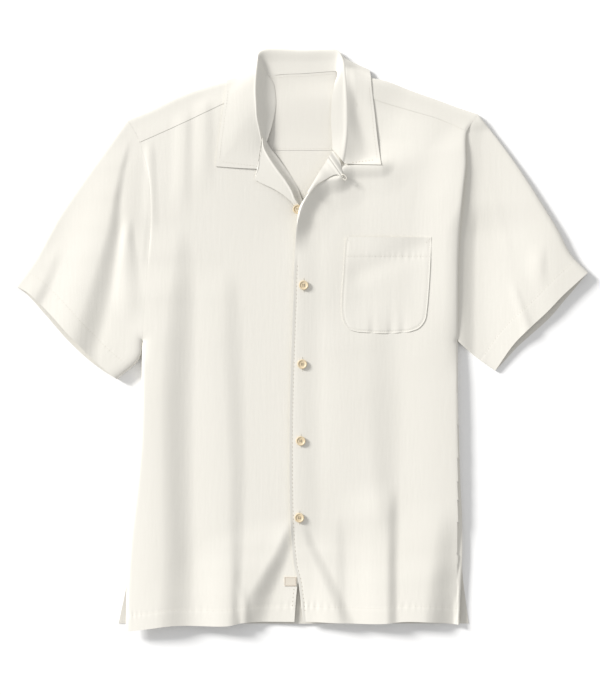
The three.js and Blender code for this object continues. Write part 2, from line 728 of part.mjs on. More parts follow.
const collarSections = table(
  section,
  [-52, 281, 6, -56.5, 283, 10.5, -62, 240, 10.5, 90, 1.6, 0.4, 0, 0],
  [-44, 296, 5, -59, 296, 13, -92, 240, 10.5, 90, 2, 0.4, 0, 0],
  [-41, 311, 4.6, -62, 311, 15.5, -120, 242, 10.2, 88, 2.4, 0.4, 1, 0],
  [-39, 329, 4.6, -63, 328, 17, -116, 274, 10.8, 85, 2.6, 0.4, 0, 0],
  [-39, 346, 4.6, -64, 348, 17, -110, 316, 11, 80, 2.6, 0.4, 0, 0],
  [-41, 360, 4.4, -63, 372, 15.5, -106, 346, 9.6, 70, 2.4, 0.45, 0, 0],
  [-44, 366, 4, -62, 390, 12, -102, 370, 4.6, 45, 2.2, 0.6, 0, 0],
  [-43, 368, 3.8, -60, 401, 8, -95, 372, 0.8, 25, 2, 0.8, 0, 1],
  [-38, 368.5, 3.6, -52, 406, 4.6, -77, 360, 0.6, 8, 1.9, 0.98, 0, 1],
  [-28, 369, 3.6, -36, 407, 3, -45, 350, 0.6, 2, 1.9, 0.98, 0, 1],
  [0, 369.5, 3.6, -2, 405.5, 2.5, 0, 347, 0.6, 0, 1.85, 0.98, 0, 1],
  [28, 371.5, 3.6, 28, 406.5, 2.9, 40, 350, 0.6, 2, 1.9, 0.98, 0, 1],
  [42, 374, 4.2, 46, 406, 4.6, 66, 362, 0.6, 8, 1.9, 0.98, 0, 1],
  [50, 374, 5.5, 54, 400, 8, 86, 375, 0.8, 25, 2, 0.8, 0, 1],
  [50, 369, 7, 59, 392, 12.5, 95, 376, 5, 45, 3, 0.7, 0, 0],
  [47, 357, 8.4, 63, 376, 15.5, 98, 350, 10.6, 70, 3.6, 0.85, 0, 0],
  [44, 334, 9.4, 65, 347, 17, 102, 318, 10.6, 80, 4, 0.9, 0, 0],
  [43, 310, 9.6, 65.5, 315, 17.5, 106, 282, 10.8, 85, 4, 0.9, 0, 0],
  [44, 288, 10, 64, 288, 18, 111, 244, 11.4, 88, 3.6, 0.85, 1, 0],
  [44.5, 273, 11.5, 61, 266, 18.5, 84, 244.5, 15.5, 88, 3, 0.6, 0, 0],
  [43.5, 266, 12.5, 57, 249, 19.5, 60.5, 245.5, 19, 80, 1.4, 0.5, 0, 0],
);

const lapelRightSections = table(
  section,
  [-50, 277, 6.5, -54, 279, 10.5, -60.4, 237.4, 10.4, 90, 1.6, 0.4, 0, 0],
  [-44.5, 269, 5, -52.5, 268, 11.5, -66, 223.5, 10.2, 90, 1.8, 0.4, 1, 0],
  [-34.5, 256, 3.8, -44, 252, 11.8, -54, 217.5, 10.2, 90, 1.9, 0.4, 0, 0],
  [-22.5, 240, 3.2, -33, 236, 11.8, -41, 211.5, 10.2, 90, 1.9, 0.4, 0, 0],
  [-12.5, 225, 3.2, -22.5, 222, 11.4, -28, 204, 10.2, 90, 1.8, 0.4, 0, 0],
  [-5.5, 212, 3.6, -14, 208, 10.8, -18, 196, 9.8, 90, 1.7, 0.4, 0, 0],
  [-2, 201, 4.5, -9.5, 197, 10.2, -12, 190, 9.2, 90, 1.5, 0.4, 0, 0],
  [3, 191, 5, -3, 188, 8.6, -6, 182, 8, 90, 1.2, 0.4, 0, 0],
);

// The other lapel stands up from its roll line: its sections go from that line to its free edge,
// which is rise higher
const standing = ["rootX", "rootY", "outerX", "outerY", "rise", "corner"];
const lapelLeftSections = table(
  standing,
  [43.5, 263.5, 54.5, 246.5, 6.5, 0],
  [38, 255, 57.5, 226.5, 6, 1],
  [33, 246, 47, 230, 5, 0],
  [25, 234, 33, 223, 4, 0],
  [17, 220, 21, 215, 2.5, 0],
  [9, 206, 12, 203, 1.5, 0],
);

function standingLapel(u, v) {
  const t = u * (lapelLeftSections.length - 1);
  const at = (name) => sectionValue(lapelLeftSections, name, t);
  const root = new THREE.Vector3(at("rootX"), at("rootY"), 0);
  const foot = upperFront(root.x, root.y) + layerStep + seamGap;
  const point = root.lerp(new THREE.Vector3(at("outerX"), at("outerY"), 0), v);
  return point.setZ(foot + at("rise") * (1 - (1 - v) ** 2) + 0.6 * Math.sin(Math.PI * v));
}

function makeTurned(rows, columns, flip) {
  const shares = [0, 0.14, 0.26, 0.34, 0.42, 0.5, 0.58, 0.66, 0.75, 0.87, 1];
  const sheet = gridSheet(columns, shares.length - 1, (u, v) => {
    const t = (flip ? 1 - u : u) * (rows.length - 1);
    return sectionPoint(rows, t, shares[Math.round(v * (shares.length - 1))]);
  });
  return wallAround(sheet);
}

function makeStandingLapel() {
  return wallAround(gridSheet(10, 5, standingLapel));
}

// Patch pocket, lying on the upper front
function makePocket() {
  const top = lineThrough(table(xy, [62, 144], [121, 143], [181, 143]));
  const bottom = lineThrough(table(xy, [78, 11], [115, 9], [150, 11]));
  const left = lineThrough(table(xy, [62, 144], [58, 86], [56, 43], [59, 25], [66, 15], [78, 11]));
  const right = lineThrough(table(xy, [181, 143], [179, 96], [175, 43], [172, 27], [163, 16], [150, 11]));
  const plan = planBetween(top, bottom, left, right);
  const sheet = gridSheet(8, 9, (u, v) => plan(1 - u, v));
  sheet.points.forEach((point) => {
    const open = 2.2 * Math.exp(-(144 - point.y) / 22) * Math.sin((Math.PI * (point.x - 56)) / 125);
    point.setZ(upperFront(point.x, point.y) + layerStep + 0.2 + Math.max(0, open));
  });
  return wallAround(sheet);
}

// Shirt button: a rim around a shallow well
function makeButton() {
  const radius = buttonDiameter / 2;
  const half = buttonThickness / 2;
  const outline = [
    [0, -half], [radius * 0.72, -half], [radius * 0.96, -half * 0.35], [radius, half * 0.3],
    [radius * 0.9, half], [radius * 0.74, half * 0.92], [radius * 0.58, half * 0.3], [0, half * 0.35],
  ];
  const lathe = new THREE.LatheGeometry(outline.map(([r, z]) => new THREE.Vector2(r, z)), 16);
  lathe.deleteAttribute("normal");
  lathe.deleteAttribute("uv");
  const whole = mergeVertices(lathe, 1e-4);
  whole.rotateX(Math.PI / 2);
  return whole;
}

// Fastened buttons lie on the upper front; the top one is open, and lies under its edge
const buttonRows = table(xy, [3, 76], [1, -34], [-1, -141], [-3, -248]);
const openPlace = { x: -5.5, y: 182, z: 11.8 };

// Thread loop at the standing lapel's corner
function makeLoop() {
  const corner = standingLapel(0.2, 1);
  const turns = [[-3, 1.5, 0.8], [0.5, 3.5, 1.4], [5, -0.5, 1.8], [4, -4.5, 1.6], [0.1, -1.9, 1.4]];
  const spine = turns.map((turn) => new THREE.Vector3(...turn).add(corner));
  spine.forEach((point) => point.setZ(point.z + clothWall));
  const path = new THREE.CatmullRomCurve3(spine);
  const round = new THREE.Shape();
  round.absarc(0, 0, loopThread / 2, 0, 2 * Math.PI);
  const settings = { steps: 10, extrudePath: path, bevelEnabled: false, curveSegments: 5 };
  const tube = new THREE.ExtrudeGeometry(round, settings);
  tube.deleteAttribute("normal");
  tube.deleteAttribute("uv");
  return mergeVertices(tube, 1e-4);
}

// Blank woven tab on the under front, by its centre edge
function makeTab() {
  const place = (u, v) => new THREE.Vector3(-7 - 17 * u, -331 - 13 * v, 0);
  const sheet = gridSheet(3, 3, place);
  sheet.points.forEach((point) => point.setZ(upper(point.x, point.y) + layerStep + 0.1));
  sheet.quads.forEach((quad) => quad.reverse());
  return wallAround(sheet);
}

add("back", makeBack());
add("yoke", makeYoke());
add("front_right", makeFront(yokeSeamRight, hemRight, armLines.right, sideRight, centreRight, upper, -1));
add("front_left", makeFront(yokeSeamLeft, hemLeft, armLines.left, sideLeft, centreLeft, upperFront, 1));
add("sleeve_right", makeSleeve(sleeveOuterRight, sleeveLowerRight, armLines.right, cuffRight, 1));
add("sleeve_left", makeSleeve(sleeveOuterLeft, sleeveLowerLeft, armLines.left, cuffLeft, -1));
add("collar", makeTurned(collarSections, 56, true));
add("lapel_right", makeTurned(lapelRightSections, 10, true));
add("lapel_left", makeStandingLapel());
add("pocket", makePocket());
buttonRows.forEach((row, i) => {
  const button = add(`button_${i + 2}`, makeButton(), horn);
  const rest = upperFront(row.x, row.y) + clothWall / 2 + seamGap;
  button.position.set(row.x, row.y, rest + buttonThickness / 2);
});
const openButton = add("button_1", makeButton(), horn);
openButton.position.set(openPlace.x, openPlace.y, openPlace.z);
add("loop", makeLoop(), cloth);
add("label", makeTab(), tabCloth);

export default shirt;
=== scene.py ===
import math

import bmesh
import bpy
import numpy as np
from mathutils import Matrix, Vector


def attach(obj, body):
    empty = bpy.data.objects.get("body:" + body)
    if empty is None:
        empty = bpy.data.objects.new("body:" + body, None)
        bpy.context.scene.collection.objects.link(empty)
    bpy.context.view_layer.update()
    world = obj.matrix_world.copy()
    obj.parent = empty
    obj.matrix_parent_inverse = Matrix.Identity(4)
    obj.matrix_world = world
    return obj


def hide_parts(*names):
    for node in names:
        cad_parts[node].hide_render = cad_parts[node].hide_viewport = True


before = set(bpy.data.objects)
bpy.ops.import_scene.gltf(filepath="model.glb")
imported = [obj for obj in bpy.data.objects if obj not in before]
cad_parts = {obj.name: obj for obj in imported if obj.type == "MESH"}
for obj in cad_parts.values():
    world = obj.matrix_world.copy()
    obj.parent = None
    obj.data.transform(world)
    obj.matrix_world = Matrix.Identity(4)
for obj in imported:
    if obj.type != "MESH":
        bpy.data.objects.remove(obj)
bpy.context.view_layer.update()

# Camp shirt laid flat, front up. Shape numbers are millimetres, made metres when a mesh is written.
# +X is the wearer's left, +Y runs to the collar, +Z up from the surface.

toMetres = 0.001

cloth = {
    "thick": 0.7,          # what a shell is given, centred on its middle sheet
    "wall": 1.2,           # the solids' wall, which the layers are spaced by
    "seamGap": 0.3,
    "leafRoom": 2.0,       # lift of the back yoke over the folded-under collar leaf
    "puffLimit": 8.5,
    "puffSlope": 0.045,
    "backSeamY": 265.0,
    "hemY": -397.0,
    "neckRise": 5.6,
    "slitRise": 3.2,       # the back comes up between the fronts at the hem
    "edgeRise": 1.8,       # of the left front along its closed edge
    "leafDip": 4.8,        # the left side sinks by this under the collar's leaf
    "edgeStand": 14.5,     # of the left front where the lapel turns out
    "standReach": 48.0,
    "leafStand": 10.0,     # and further along, under the leaf's lower edge
    "edgeCurl": 0.6,       # of the placket's edge outside its stitches
    "pickInset": 4.4,      # from the placket's edge to its stitches
    "lapSteps": 1.55,      # how many layers the left front lies above the right one
}
cloth["step"] = cloth["wall"] + cloth["seamGap"]
cloth["backZ"] = cloth["wall"] / 2
cloth["topZ"] = cloth["backZ"] + cloth["step"]

# Outline, piece by piece, from the collar end to the hem end
outline = {
    "shoulderRight": [(-55, 379), (-80, 370), (-101, 363), (-131, 355), (-173, 340), (-214, 320), (-243, 308)],
    "shoulderLeft": [(55, 382), (76, 373), (93, 367), (122, 360), (150, 349), (192, 334), (219, 324), (246, 315)],
    "neckBack": [(-50, 368), (-25, 371), (1, 372), (28, 374), (51, 376)],
    "yokeSeamRight": [(-52, 356), (-78, 344), (-111, 329), (-170, 301), (-226.2, 276)],
    "yokeSeamLeft": [(53, 358), (68, 350), (107, 334), (153, 320), (192, 308), (230, 291)],
    "armholeRight": [(-243, 308), (-228, 281), (-217, 246), (-212, 212), (-211, 157), (-213, 129), (-222, -2)],
    "armholeLeft": [(246, 315), (239, 305), (230, 288), (229, 243), (225, 206), (222, 173), (219, 126), (218, -2)],
    "sideRight": [(-222, -2), (-224, -125), (-228, -180), (-234, -235), (-239, -277), (-243, -332), (-245, -407)],
    "sideLeft": [(218, -2), (218, -69), (219, -111), (220, -152), (222, -208), (224, -249), (224, -305), (220, -398)],
    "sleeveOuterRight": [(-243, 308), (-259, 287), (-298, 234), (-339, 174), (-372, 115), (-400, 75)],
    "sleeveOuterLeft": [(246, 315), (275, 279), (311, 229), (336, 190), (358, 154), (377, 118), (400, 94)],
    "sleeveLowerRight": [(-222, -2), (-226, -25), (-258, -55)],
    "sleeveLowerLeft": [(218, -2), (247, -26), (271, -43)],
    "cuffRight": [(-400, 75), (-383, 66), (-353, 38), (-321, 3), (-286, -32), (-258, -55)],
    "cuffLeft": [(400, 94), (363, 60), (344, 40), (312, 10), (296, -7), (271, -43)],
    "centreRight": [(-52, 356), (-53, 336), (-57, 305), (-56, 280), (-44, 252), (-24, 222), (0, 184),
                    (14, 158), (18, 56), (16, -140), (10, -252), (-6, -346), (-10, -394)],
    "centreLeft": [(53, 358), (52, 336), (50, 301), (47, 267), (27, 235), (10, 205), (-2, 186), (-6, 167),
                   (-10, 109), (-12, 49), (-15, -35), (-17, -140), (-15, -268), (-10, -317), (-5, -336), (2, -393)],
    "hemRight": [(-245, -407), (-214, -403), (-181, -399), (-104, -399), (-81, -395), (-10, -394)],
    "hemLeft": [(220, -398), (192, -395), (150, -393), (108, -396), (53, -395), (2, -393)],
}

# How the upper layer rolls up behind each closed edge: height at the edge, height and width of the roll
closedEdges = [
    (5, 2.5, 6, outline["sideRight"]),
    (6, 6, 24, outline["sideLeft"]),
    (2.5, 2, 7, outline["shoulderRight"]),
    (3, 3, 9, outline["shoulderLeft"]),
    (3, 2, 6, outline["sleeveOuterRight"]),
    (4.5, 3.5, 9, outline["sleeveOuterLeft"]),
    (3, 5, 20, outline["sleeveLowerRight"]),
    (3, 3, 8, outline["sleeveLowerLeft"]),
    (1.5, 3.5, 40, [(-50, 368), (-45, 300), (-5, 184)]),
    (1.5, 3.5, 40, [(50, 360), (46, 290)]),
    (3.8, 1.2, 40, [(46, 290), (46, 270), (-2, 186)]),
]

# Folds run down the cloth: at height y the crest is at x, with a left and a right flank and a rise
folds = {
    "sideFoldRight": [(165, -176, 98, 20, 0), (112, -180, 101, 31, 2.4), (56, -187, 105, 42, 5.5),
        (-7, -194, 109, 48, 7.5), (-84, -198, 109, 50, 8), (-182, -197, 109, 48, 7.5), (-308, -195, 109, 48, 7.5),
        (-403, -201, 109, 50, 8)],
    "chestFoldRight": [(109, -110, 70, 22, 0), (56, -111, 73, 28, 1.8), (-7, -113, 78, 34, 2.6),
        (-84, -108, 78, 31, 2.8), (-182, -103, 78, 28, 2.8), (-266, -103, 70, 25, 2.9), (-329, -100, 56, 18, 3.4),
        (-403, -102, 48, 20, 4.2)],
    "hemFoldRight": [(-245, -16, 60, 12, 0), (-291, -36, 120, 24, 2), (-325, -57, 140, 33, 3),
        (-356, -76, 150, 40, 3.4), (-403, -96, 150, 48, 3.4)],
    "hemSinkRight": [(-245, -4, 12, 90, 0), (-291, -12, 24, 120, -3.2), (-325, -24, 33, 140, -5),
        (-356, -36, 40, 150, -5.6), (-403, -48, 48, 150, -5.6)],
    "hemRippleRight": [(-335, -86, 8, 10, 0), (-370, -81, 9, 12, 1.2), (-403, -78, 9, 12, 1.7)],
    "hemFoldLeft": [(-245, -6, 30, 11, 0), (-287, 5, 60, 18, 2.4), (-325, 23, 90, 20, 3.4), (-403, 58, 110, 23, 3.8)],
    "hemRippleLeft": [(-231, 44, 36, 17, 0), (-287, 47, 36, 17, 1.3), (-403, 48, 36, 17, 1.5)],
    "bellyFoldLeft": [(61, 88, 78, 39, 0), (-14, 85, 84, 53, 2.6), (-84, 85, 84, 59, 3.8), (-161, 93, 84, 48, 3.6),
        (-224, 102, 84, 36, 3.2), (-297, 113, 70, 25, 0)],
    "bellyCreaseLeft": [(-193, 121, 70, 17, 0), (-252, 118, 84, 19, 3.2), (-308, 118, 84, 17, 4.5),
        (-403, 118, 84, 17, 4.8)],
    "armholeRidgeLeft": [(312, 246, 40, 20, 0), (262, 231, 60, 30, 3), (196, 226, 70, 40, 4), (60, 222, 80, 60, 4),
        (-60, 220, 84, 60, 0)],
    "sideFoldLeft": [(60, 194, 84, 84, 0), (-30, 194, 84, 84, 2.4), (-224, 194, 84, 84, 2.4),
        (-403, 191, 84, 84, 2.4)],
    "cornerFallLeft": [(-220, 192, 110, 25, 0), (-295, 184, 120, 32, 2), (-340, 176, 130, 38, 3.6),
        (-403, 168, 130, 44, 4.4)],
    "cornerSinkLeft": [(-235, 228, 46, 30, 0), (-300, 228, 50, 30, -3.2), (-345, 226, 54, 30, -5.5),
        (-403, 221, 54, 30, -7.5)],
    "cornerCurlLeft": [(-352, 220, 9, 12, 0), (-378, 220, 9, 12, 1.8), (-403, 220, 9, 12, 3)],
    "underYokeFold1": [(322, -164, 20, 13, 0), (299, -164, 20, 14, 1.1), (227, -166, 20, 17, 1),
        (151, -170, 22, 20, 0)],
    "underYokeFold2": [(341, -135, 20, 13, 0), (322, -135, 20, 14, 1.1), (266, -136, 20, 17, 1),
        (193, -138, 22, 20, 0)],
    "underYokeFold3": [(283, -214, 8, 10, 0), (257, -212, 11, 11, 1), (189, -211, 11, 13, 0.9),
        (137, -209, 14, 14, 0)],
    "sleeveFoldRight": [(285, -241, 56, 6, 0), (238, -255, 62, 11, 1.9), (196, -264, 67, 14, 3),
        (154, -272, 73, 21, 4.2), (112, -285, 76, 29, 5.2), (70, -298, 76, 36, 6), (28, -312, 70, 42, 6.4),
        (-14, -326, 62, 45, 6.4)],
    "sleeveRidgeRight": [(269, -237, 12, 20, 0), (224, -243, 14, 22, 0.5), (140, -244, 15, 17, 0.6),
        (70, -252, 18, 28, 0.6), (14, -264, 20, 34, 0.6), (-34, -280, 20, 34, 0.5)],
    "sleevePleatRight": [(176, -241, 10, 7, 0), (140, -244, 13, 13, 1.7), (98, -244, 22, 20, 1.5),
        (56, -243, 26, 25, 1.4), (17, -240, 20, 25, 0)],
    "cuffDentRight": [(137, -341, 34, 17, 0), (101, -354, 34, 17, 1.2), (67, -369, 34, 18, 2.2),
        (39, -383, 34, 18, 2)],
    "sleeveFoldLeft": [(299, 247, 11, 10, 0), (252, 255, 17, 13, 1.5), (196, 267, 20, 13, 1.6),
        (140, 282, 22, 14, 1.1), (92, 295, 22, 14, 0)],
    "sleevePleatLeft": [(185, 232, 10, 11, 0), (140, 252, 26, 21, 1.6), (84, 272, 46, 50, 3.4),
        (56, 282, 50, 48, 3.6), (14, 298, 50, 39, 3.2)],
    "cuffCreaseLeft": [(87, 293, 11, 7, 0), (61, 301, 13, 8, 1.4), (17, 316, 14, 10, 1.7)],
    "cuffDentLeft": [(140, 331, 22, 14, 0), (105, 331, 22, 14, 1.4), (64, 334, 22, 14, 0)],
    "sleeveRidgeLeft": [(126, 241, 8, 42, 0), (77, 253, 13, 36, 1.6), (28, 264, 20, 31, 2.4), (-14, 272, 22, 28, 2),
        (-45, 276, 22, 28, 1.2)],
}


# Lines and sheets

def smoothStep(value, low, high):
    t = np.clip((value - low) / (high - low), 0, 1)
    return t * t * (3 - 2 * t)


def roundLine(points, t):
    # centripetal Catmull-Rom: points (..., n, k), t from 0 to n - 1
    points = np.asarray(points, float)
    count = points.shape[-2]
    first = 2 * points[..., :1, :] - points[..., 1:2, :]
    last = 2 * points[..., -1:, :] - points[..., -2:-1, :]
    padded = np.concatenate([first, points, last], axis=-2)
    t = np.clip(np.asarray(t, float), 0, count - 1)
    span = np.minimum(t.astype(int), count - 2)
    part = (t - span)[..., None]
    p = [padded[..., span + k, :] for k in range(4)]
    gap = [np.maximum(np.linalg.norm(p[k + 1] - p[k], axis=-1, keepdims=True) ** 0.5, 1e-4) for k in range(3)]
    leave = ((p[1] - p[0]) / gap[0] - (p[2] - p[0]) / (gap[0] + gap[1]) + (p[2] - p[1]) / gap[1]) * gap[1]
    arrive = ((p[2] - p[1]) / gap[1] - (p[3] - p[1]) / (gap[1] + gap[2]) + (p[3] - p[2]) / gap[2]) * gap[1]
    a2 = 3 * (p[2] - p[1]) - 2 * leave - arrive
    a3 = 2 * (p[1] - p[2]) + leave + arrive
    return p[1] + leave * part + a2 * part ** 2 + a3 * part ** 3


def lineThrough(rows):
    rows = np.asarray(rows, float)
    fine = roundLine(rows, np.linspace(0, len(rows) - 1, 40 * (len(rows) - 1) + 1))
    run = np.concatenate([[0], np.cumsum(np.linalg.norm(np.diff(fine, axis=0), axis=1))])
    run /= run[-1]
    return lambda t: np.stack([np.interp(t, run, fine[:, k]) for k in range(rows.shape[1])], axis=-1)


def pointsAlong(rows, count, start=0, end=1):
    return lineThrough(rows)(np.linspace(start, end, count))


def shareAt(line, y):
    shares = np.linspace(0, 1, 4001)
    heights = line(shares)[:, 1]
    return float(shares[np.argmax(heights <= y)])


def partOf(line, start, end):
    return lambda t: line(start + (end - start) * np.asarray(t))


def chain(first, second, share):
    def both(t):
        t = np.asarray(t, float)
        early = first(np.clip(t / share, 0, 1))
        late = second(np.clip((t - share) / (1 - share), 0, 1))
        return np.where((t < share)[..., None], early, late)
    return both


def planBetween(top, bottom, left, right):
    zero, one = np.zeros(1), np.ones(1)
    corner = [top(zero), top(one), bottom(zero), bottom(one)]

    def place(u, v):
        a, b = u[:, None], v[:, None]
        point = top(u) * (1 - b) + bottom(u) * b + left(v) * (1 - a) + right(v) * a
        point = point - corner[0] * (1 - a) * (1 - b) - corner[1] * a * (1 - b)
        return point - corner[2] * (1 - a) * b - corner[3] * a * b
    return place


def crowded(u, amount=0.45):
    return u - amount * np.sin(2 * np.pi * u) / (2 * np.pi)


def distanceTo(rows, x, y):
    nearest = np.full(np.shape(x), np.inf)
    for (ax, ay), (bx, by) in zip(rows[:-1], rows[1:]):
        dx, dy = bx - ax, by - ay
        t = np.clip(((x - ax) * dx + (y - ay) * dy) / (dx * dx + dy * dy), 0, 1)
        nearest = np.minimum(nearest, np.hypot(x - ax - t * dx, y - ay - t * dy))
    return nearest


smoothEdges = [(base, height, roll, pointsAlong(rows, 40)) for base, height, roll, rows in closedEdges]


def rollUp(distance, reach):
    # a quarter round: 0 at an edge, 1 from reach inwards
    return np.sqrt(1 - np.clip(1 - distance / reach, 0, 1) ** 2)


def puff(x, y):
    sharpness = 1.2
    total = np.full(np.shape(x), math.exp(-sharpness * cloth["puffLimit"]))
    for base, height, roll, rows in smoothEdges:
        d = distanceTo(rows, x, y)
        h = base + height * rollUp(d, roll) + cloth["puffSlope"] * d
        total = total + np.exp(-sharpness * h)
    return np.maximum(0, -np.log(total) / sharpness)


def rowAt(rows, y):
    rows = np.asarray(rows, float)
    heights = rows[:, 0]
    found = [np.interp(-y, -heights, rows[:, k]) for k in (1, 2, 3)]
    span = np.clip(np.searchsorted(-heights, -y, side="right") - 1, 0, len(rows) - 2)
    t = np.clip((heights[span] - y) / (heights[span] - heights[span + 1]), 0, 1)
    ease = t * t * (3 - 2 * t)
    return (*found, rows[span, 4] + (rows[span + 1, 4] - rows[span, 4]) * ease)


def foldHeight(x, y):
    height = np.zeros(np.shape(x))
    for rows in folds.values():
        crest, left, right, rise = rowAt(rows, y)
        offset = x - crest
        part = np.clip(np.abs(offset) / np.where(offset < 0, left, right), 0, 1)
        height = height + rise * (1 + np.cos(np.pi * part)) / 2
    return height


def neckLift(x, y):
    away = np.hypot(np.maximum(0, np.abs(x) - 92), np.maximum(0, 335 - y))
    return cloth["leafRoom"] * (1 - smoothStep(away, 0, 55))


facings = {"Right": -1, "Left": 1}
arms = {side: lineThrough(outline["armhole" + side]) for side in facings}


def besideArm(side, x, y):
    # how far (x, y) is outside the armhole, negative on the body
    curve = arms[side](np.linspace(0, 1, 400))
    return facings[side] * (x - np.interp(-y, -curve[:, 1], curve[:, 0]))


armholes = {
    "sleeveFoot": 5.6,     # the left sleeve's height at its seam, above the lowest upper sheet
    "topDrop": 1.2, "topRoll": 6, "sideDrop": 3.6, "sideRoll": 20,    # how the left front's edge rolls down to it
    "dip": 1.4, "dipBelow": 3.2, "dipFall": 26, "riseFrom": 26, "riseTo": 140,
    "grooveDepth": 0.4,    # the shallow groove at the right arm
}


def leftArmTop(y):
    return 1 - smoothStep(y, 290, 313)


def armholeFall(x, y, height):
    # at the left arm the front stands above the sleeve, crisp by the shoulder and soft further down
    s = besideArm("Left", x, y)
    soft = 1 - smoothStep(y, 145, 195)
    drop = armholes["topDrop"] + (armholes["sideDrop"] - armholes["topDrop"]) * soft
    roll = armholes["topRoll"] + (armholes["sideRoll"] - armholes["topRoll"]) * soft
    body = height - drop * (1 - rollUp(np.maximum(-s, 0), roll)) * smoothStep(y, -60, 0)
    foot = cloth["topZ"] + armholes["sleeveFoot"]
    dip = (armholes["dip"] + armholes["dipBelow"] * soft) * smoothStep(s, 0, armholes["dipFall"])
    dip = dip * (1 - smoothStep(s, armholes["dipFall"], armholes["riseTo"]))
    sleeve = foot - dip + (height - foot) * smoothStep(s, armholes["riseFrom"], armholes["riseTo"])
    height = height + (np.where(s < 0, body, sleeve) - height) * leftArmTop(y) * np.minimum(1, height / 8)
    # at the right arm it is a shallow groove
    s = besideArm("Right", x, y)
    groove = np.where(s < 0, 1 - smoothStep(-s, 0, 3), 1 - smoothStep(s, 1, 9))
    near = smoothStep(y, 90, 140) * (1 - smoothStep(y, 235, 265))
    return height - armholes["grooveDepth"] * groove * near


shoulderLine = np.array(outline["shoulderRight"][::-1] + outline["neckBack"] + outline["shoulderLeft"], float)
shoulderLine[:, 0] = np.maximum.accumulate(shoulderLine[:, 0] + 1e-6 * np.arange(len(shoulderLine)))


def yokeEdgeY(x):
    return np.interp(x, shoulderLine[:, 0], shoulderLine[:, 1])


def leafDip(x, y):
    window = smoothStep(x, 56, 78) * (1 - smoothStep(x, 98, 190)) * smoothStep(y, 242, 282)
    return cloth["leafDip"] * window * smoothStep(yokeEdgeY(x) - y, 6, 45)


def upper(x, y):
    lowest = cloth["topZ"] + 0.2
    rise = puff(x, y)
    raw = cloth["topZ"] + rise + foldHeight(x, y) * smoothStep(rise, 0.8, 4.5)
    soft = 1.2
    kept = lowest + soft * np.logaddexp(0, (raw - lowest) / soft)
    plain = raw + (kept - raw) * np.minimum(1, rise / 3)
    return armholeFall(x, y, plain) + neckLift(x, y) - leafDip(x, y)


def lower(x, y):
    # inside the neck the back comes up towards the right-hand side of the picture, where the collar carries it
    across = np.clip((x + 36) / 86, 0, 1) * (1 - smoothStep(x, 62, 115))
    lengthwise = smoothStep(y, 165, 225) * (1 - smoothStep(y, 335, 372))
    slit = cloth["slitRise"] * np.exp(-((x + 4) / 34) ** 2) * (1 - smoothStep(y, -345, -250))
    return cloth["backZ"] + neckLift(x, y) + cloth["neckRise"] * across * lengthwise + slit


# the front stands up along this line, under the lapel's free edge
lapelFoot = pointsAlong([(-9, 120), (-6, 160), (2, 189), (15, 209), (33, 222), (54, 226), (58, 240)], 50)
leafFoot = [(48, 236), (72, 244), (110, 246)]
placketEdge = pointsAlong(outline["centreLeft"], 120)


def standAt(foot, x, y):
    # steep close to the foot line, gentle further out
    d = distanceTo(foot, x, y)
    return 0.72 * (1 - smoothStep(d, -8, 22)) + 0.28 * np.clip(1 - d / cloth["standReach"], 0, 1) ** 1.5


def upperFront(x, y):
    lap = cloth["step"] * cloth["lapSteps"] * (1 - smoothStep(x, 28, 90))
    closed = (1 - smoothStep(y, 120, 170)) * smoothStep(y, -285, -235)
    lap = lap + cloth["edgeRise"] * (1 - smoothStep(x, -8, 30)) * closed
    down = smoothStep(y, 118, 178) * (1 - smoothStep(y, 228, 262))
    edgePart, leafPart = standAt(lapelFoot, x, y), standAt(leafFoot, x, y)
    edgePart = edgePart * (1 - 0.38 * smoothStep(y, 195, 235))
    stand = down * ((cloth["edgeStand"] * edgePart) ** 3 + (cloth["leafStand"] * leafPart) ** 3) ** (1 / 3)
    inside = distanceTo(placketEdge, x, y)
    groove = 0.12 * np.exp(-((inside - cloth["pickInset"]) / 0.9) ** 2)
    curl = cloth["edgeCurl"] * (1 - smoothStep(inside, 0, cloth["pickInset"])) - groove
    return upper(x, y) + lap + stand + curl * (1 - smoothStep(y, 100, 130))


# Meshes

def gridMesh(columns, rows, place):
    # a grid whose points are moved to place(u, v), u and v from 0 to 1
    mesh = bmesh.new()
    bmesh.ops.create_grid(mesh, x_segments=columns, y_segments=rows, size=1)
    verts = list(mesh.verts)
    spots = np.array([v.co[:2] for v in verts]) / 2 + 0.5
    for vert, spot in zip(verts, place(spots[:, 0], 1 - spots[:, 1])):
        vert.co = spot
    return mesh


def finishMesh(mesh, name, material, thickness=None, facing=None, other=None):
    # other is the material of the side away from facing
    bmesh.ops.remove_doubles(mesh, verts=mesh.verts, dist=0.02)
    bmesh.ops.recalc_face_normals(mesh, faces=mesh.faces)
    if facing is not None:
        total = sum((f.normal * f.calc_area() for f in mesh.faces), Vector())
        if total.dot(Vector(facing)) < 0:
            bmesh.ops.reverse_faces(mesh, faces=mesh.faces)
    bmesh.ops.scale(mesh, vec=(toMetres,) * 3, verts=mesh.verts)
    for face in mesh.faces:
        face.smooth = True
    for edge in mesh.edges:
        edge.smooth = not edge.is_boundary and edge.calc_face_angle(0) < 0.7
    data = bpy.data.meshes.new(name)
    mesh.to_mesh(data)
    mesh.free()
    piece = bpy.data.objects.new(name, data)
    bpy.context.scene.collection.objects.link(piece)
    data.materials.append(material)
    if other:
        data.materials.append(other)
    if thickness:
        wall = piece.modifiers.new("wall", "SOLIDIFY")
        wall.thickness = thickness * toMetres
        wall.offset = 0
        wall.use_even_offset = False
        wall.material_offset = 1 if other else 0
    return piece


def ride(piece, node):
    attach(piece, "root")
    if node:
        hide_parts(node)
    return piece


# Materials

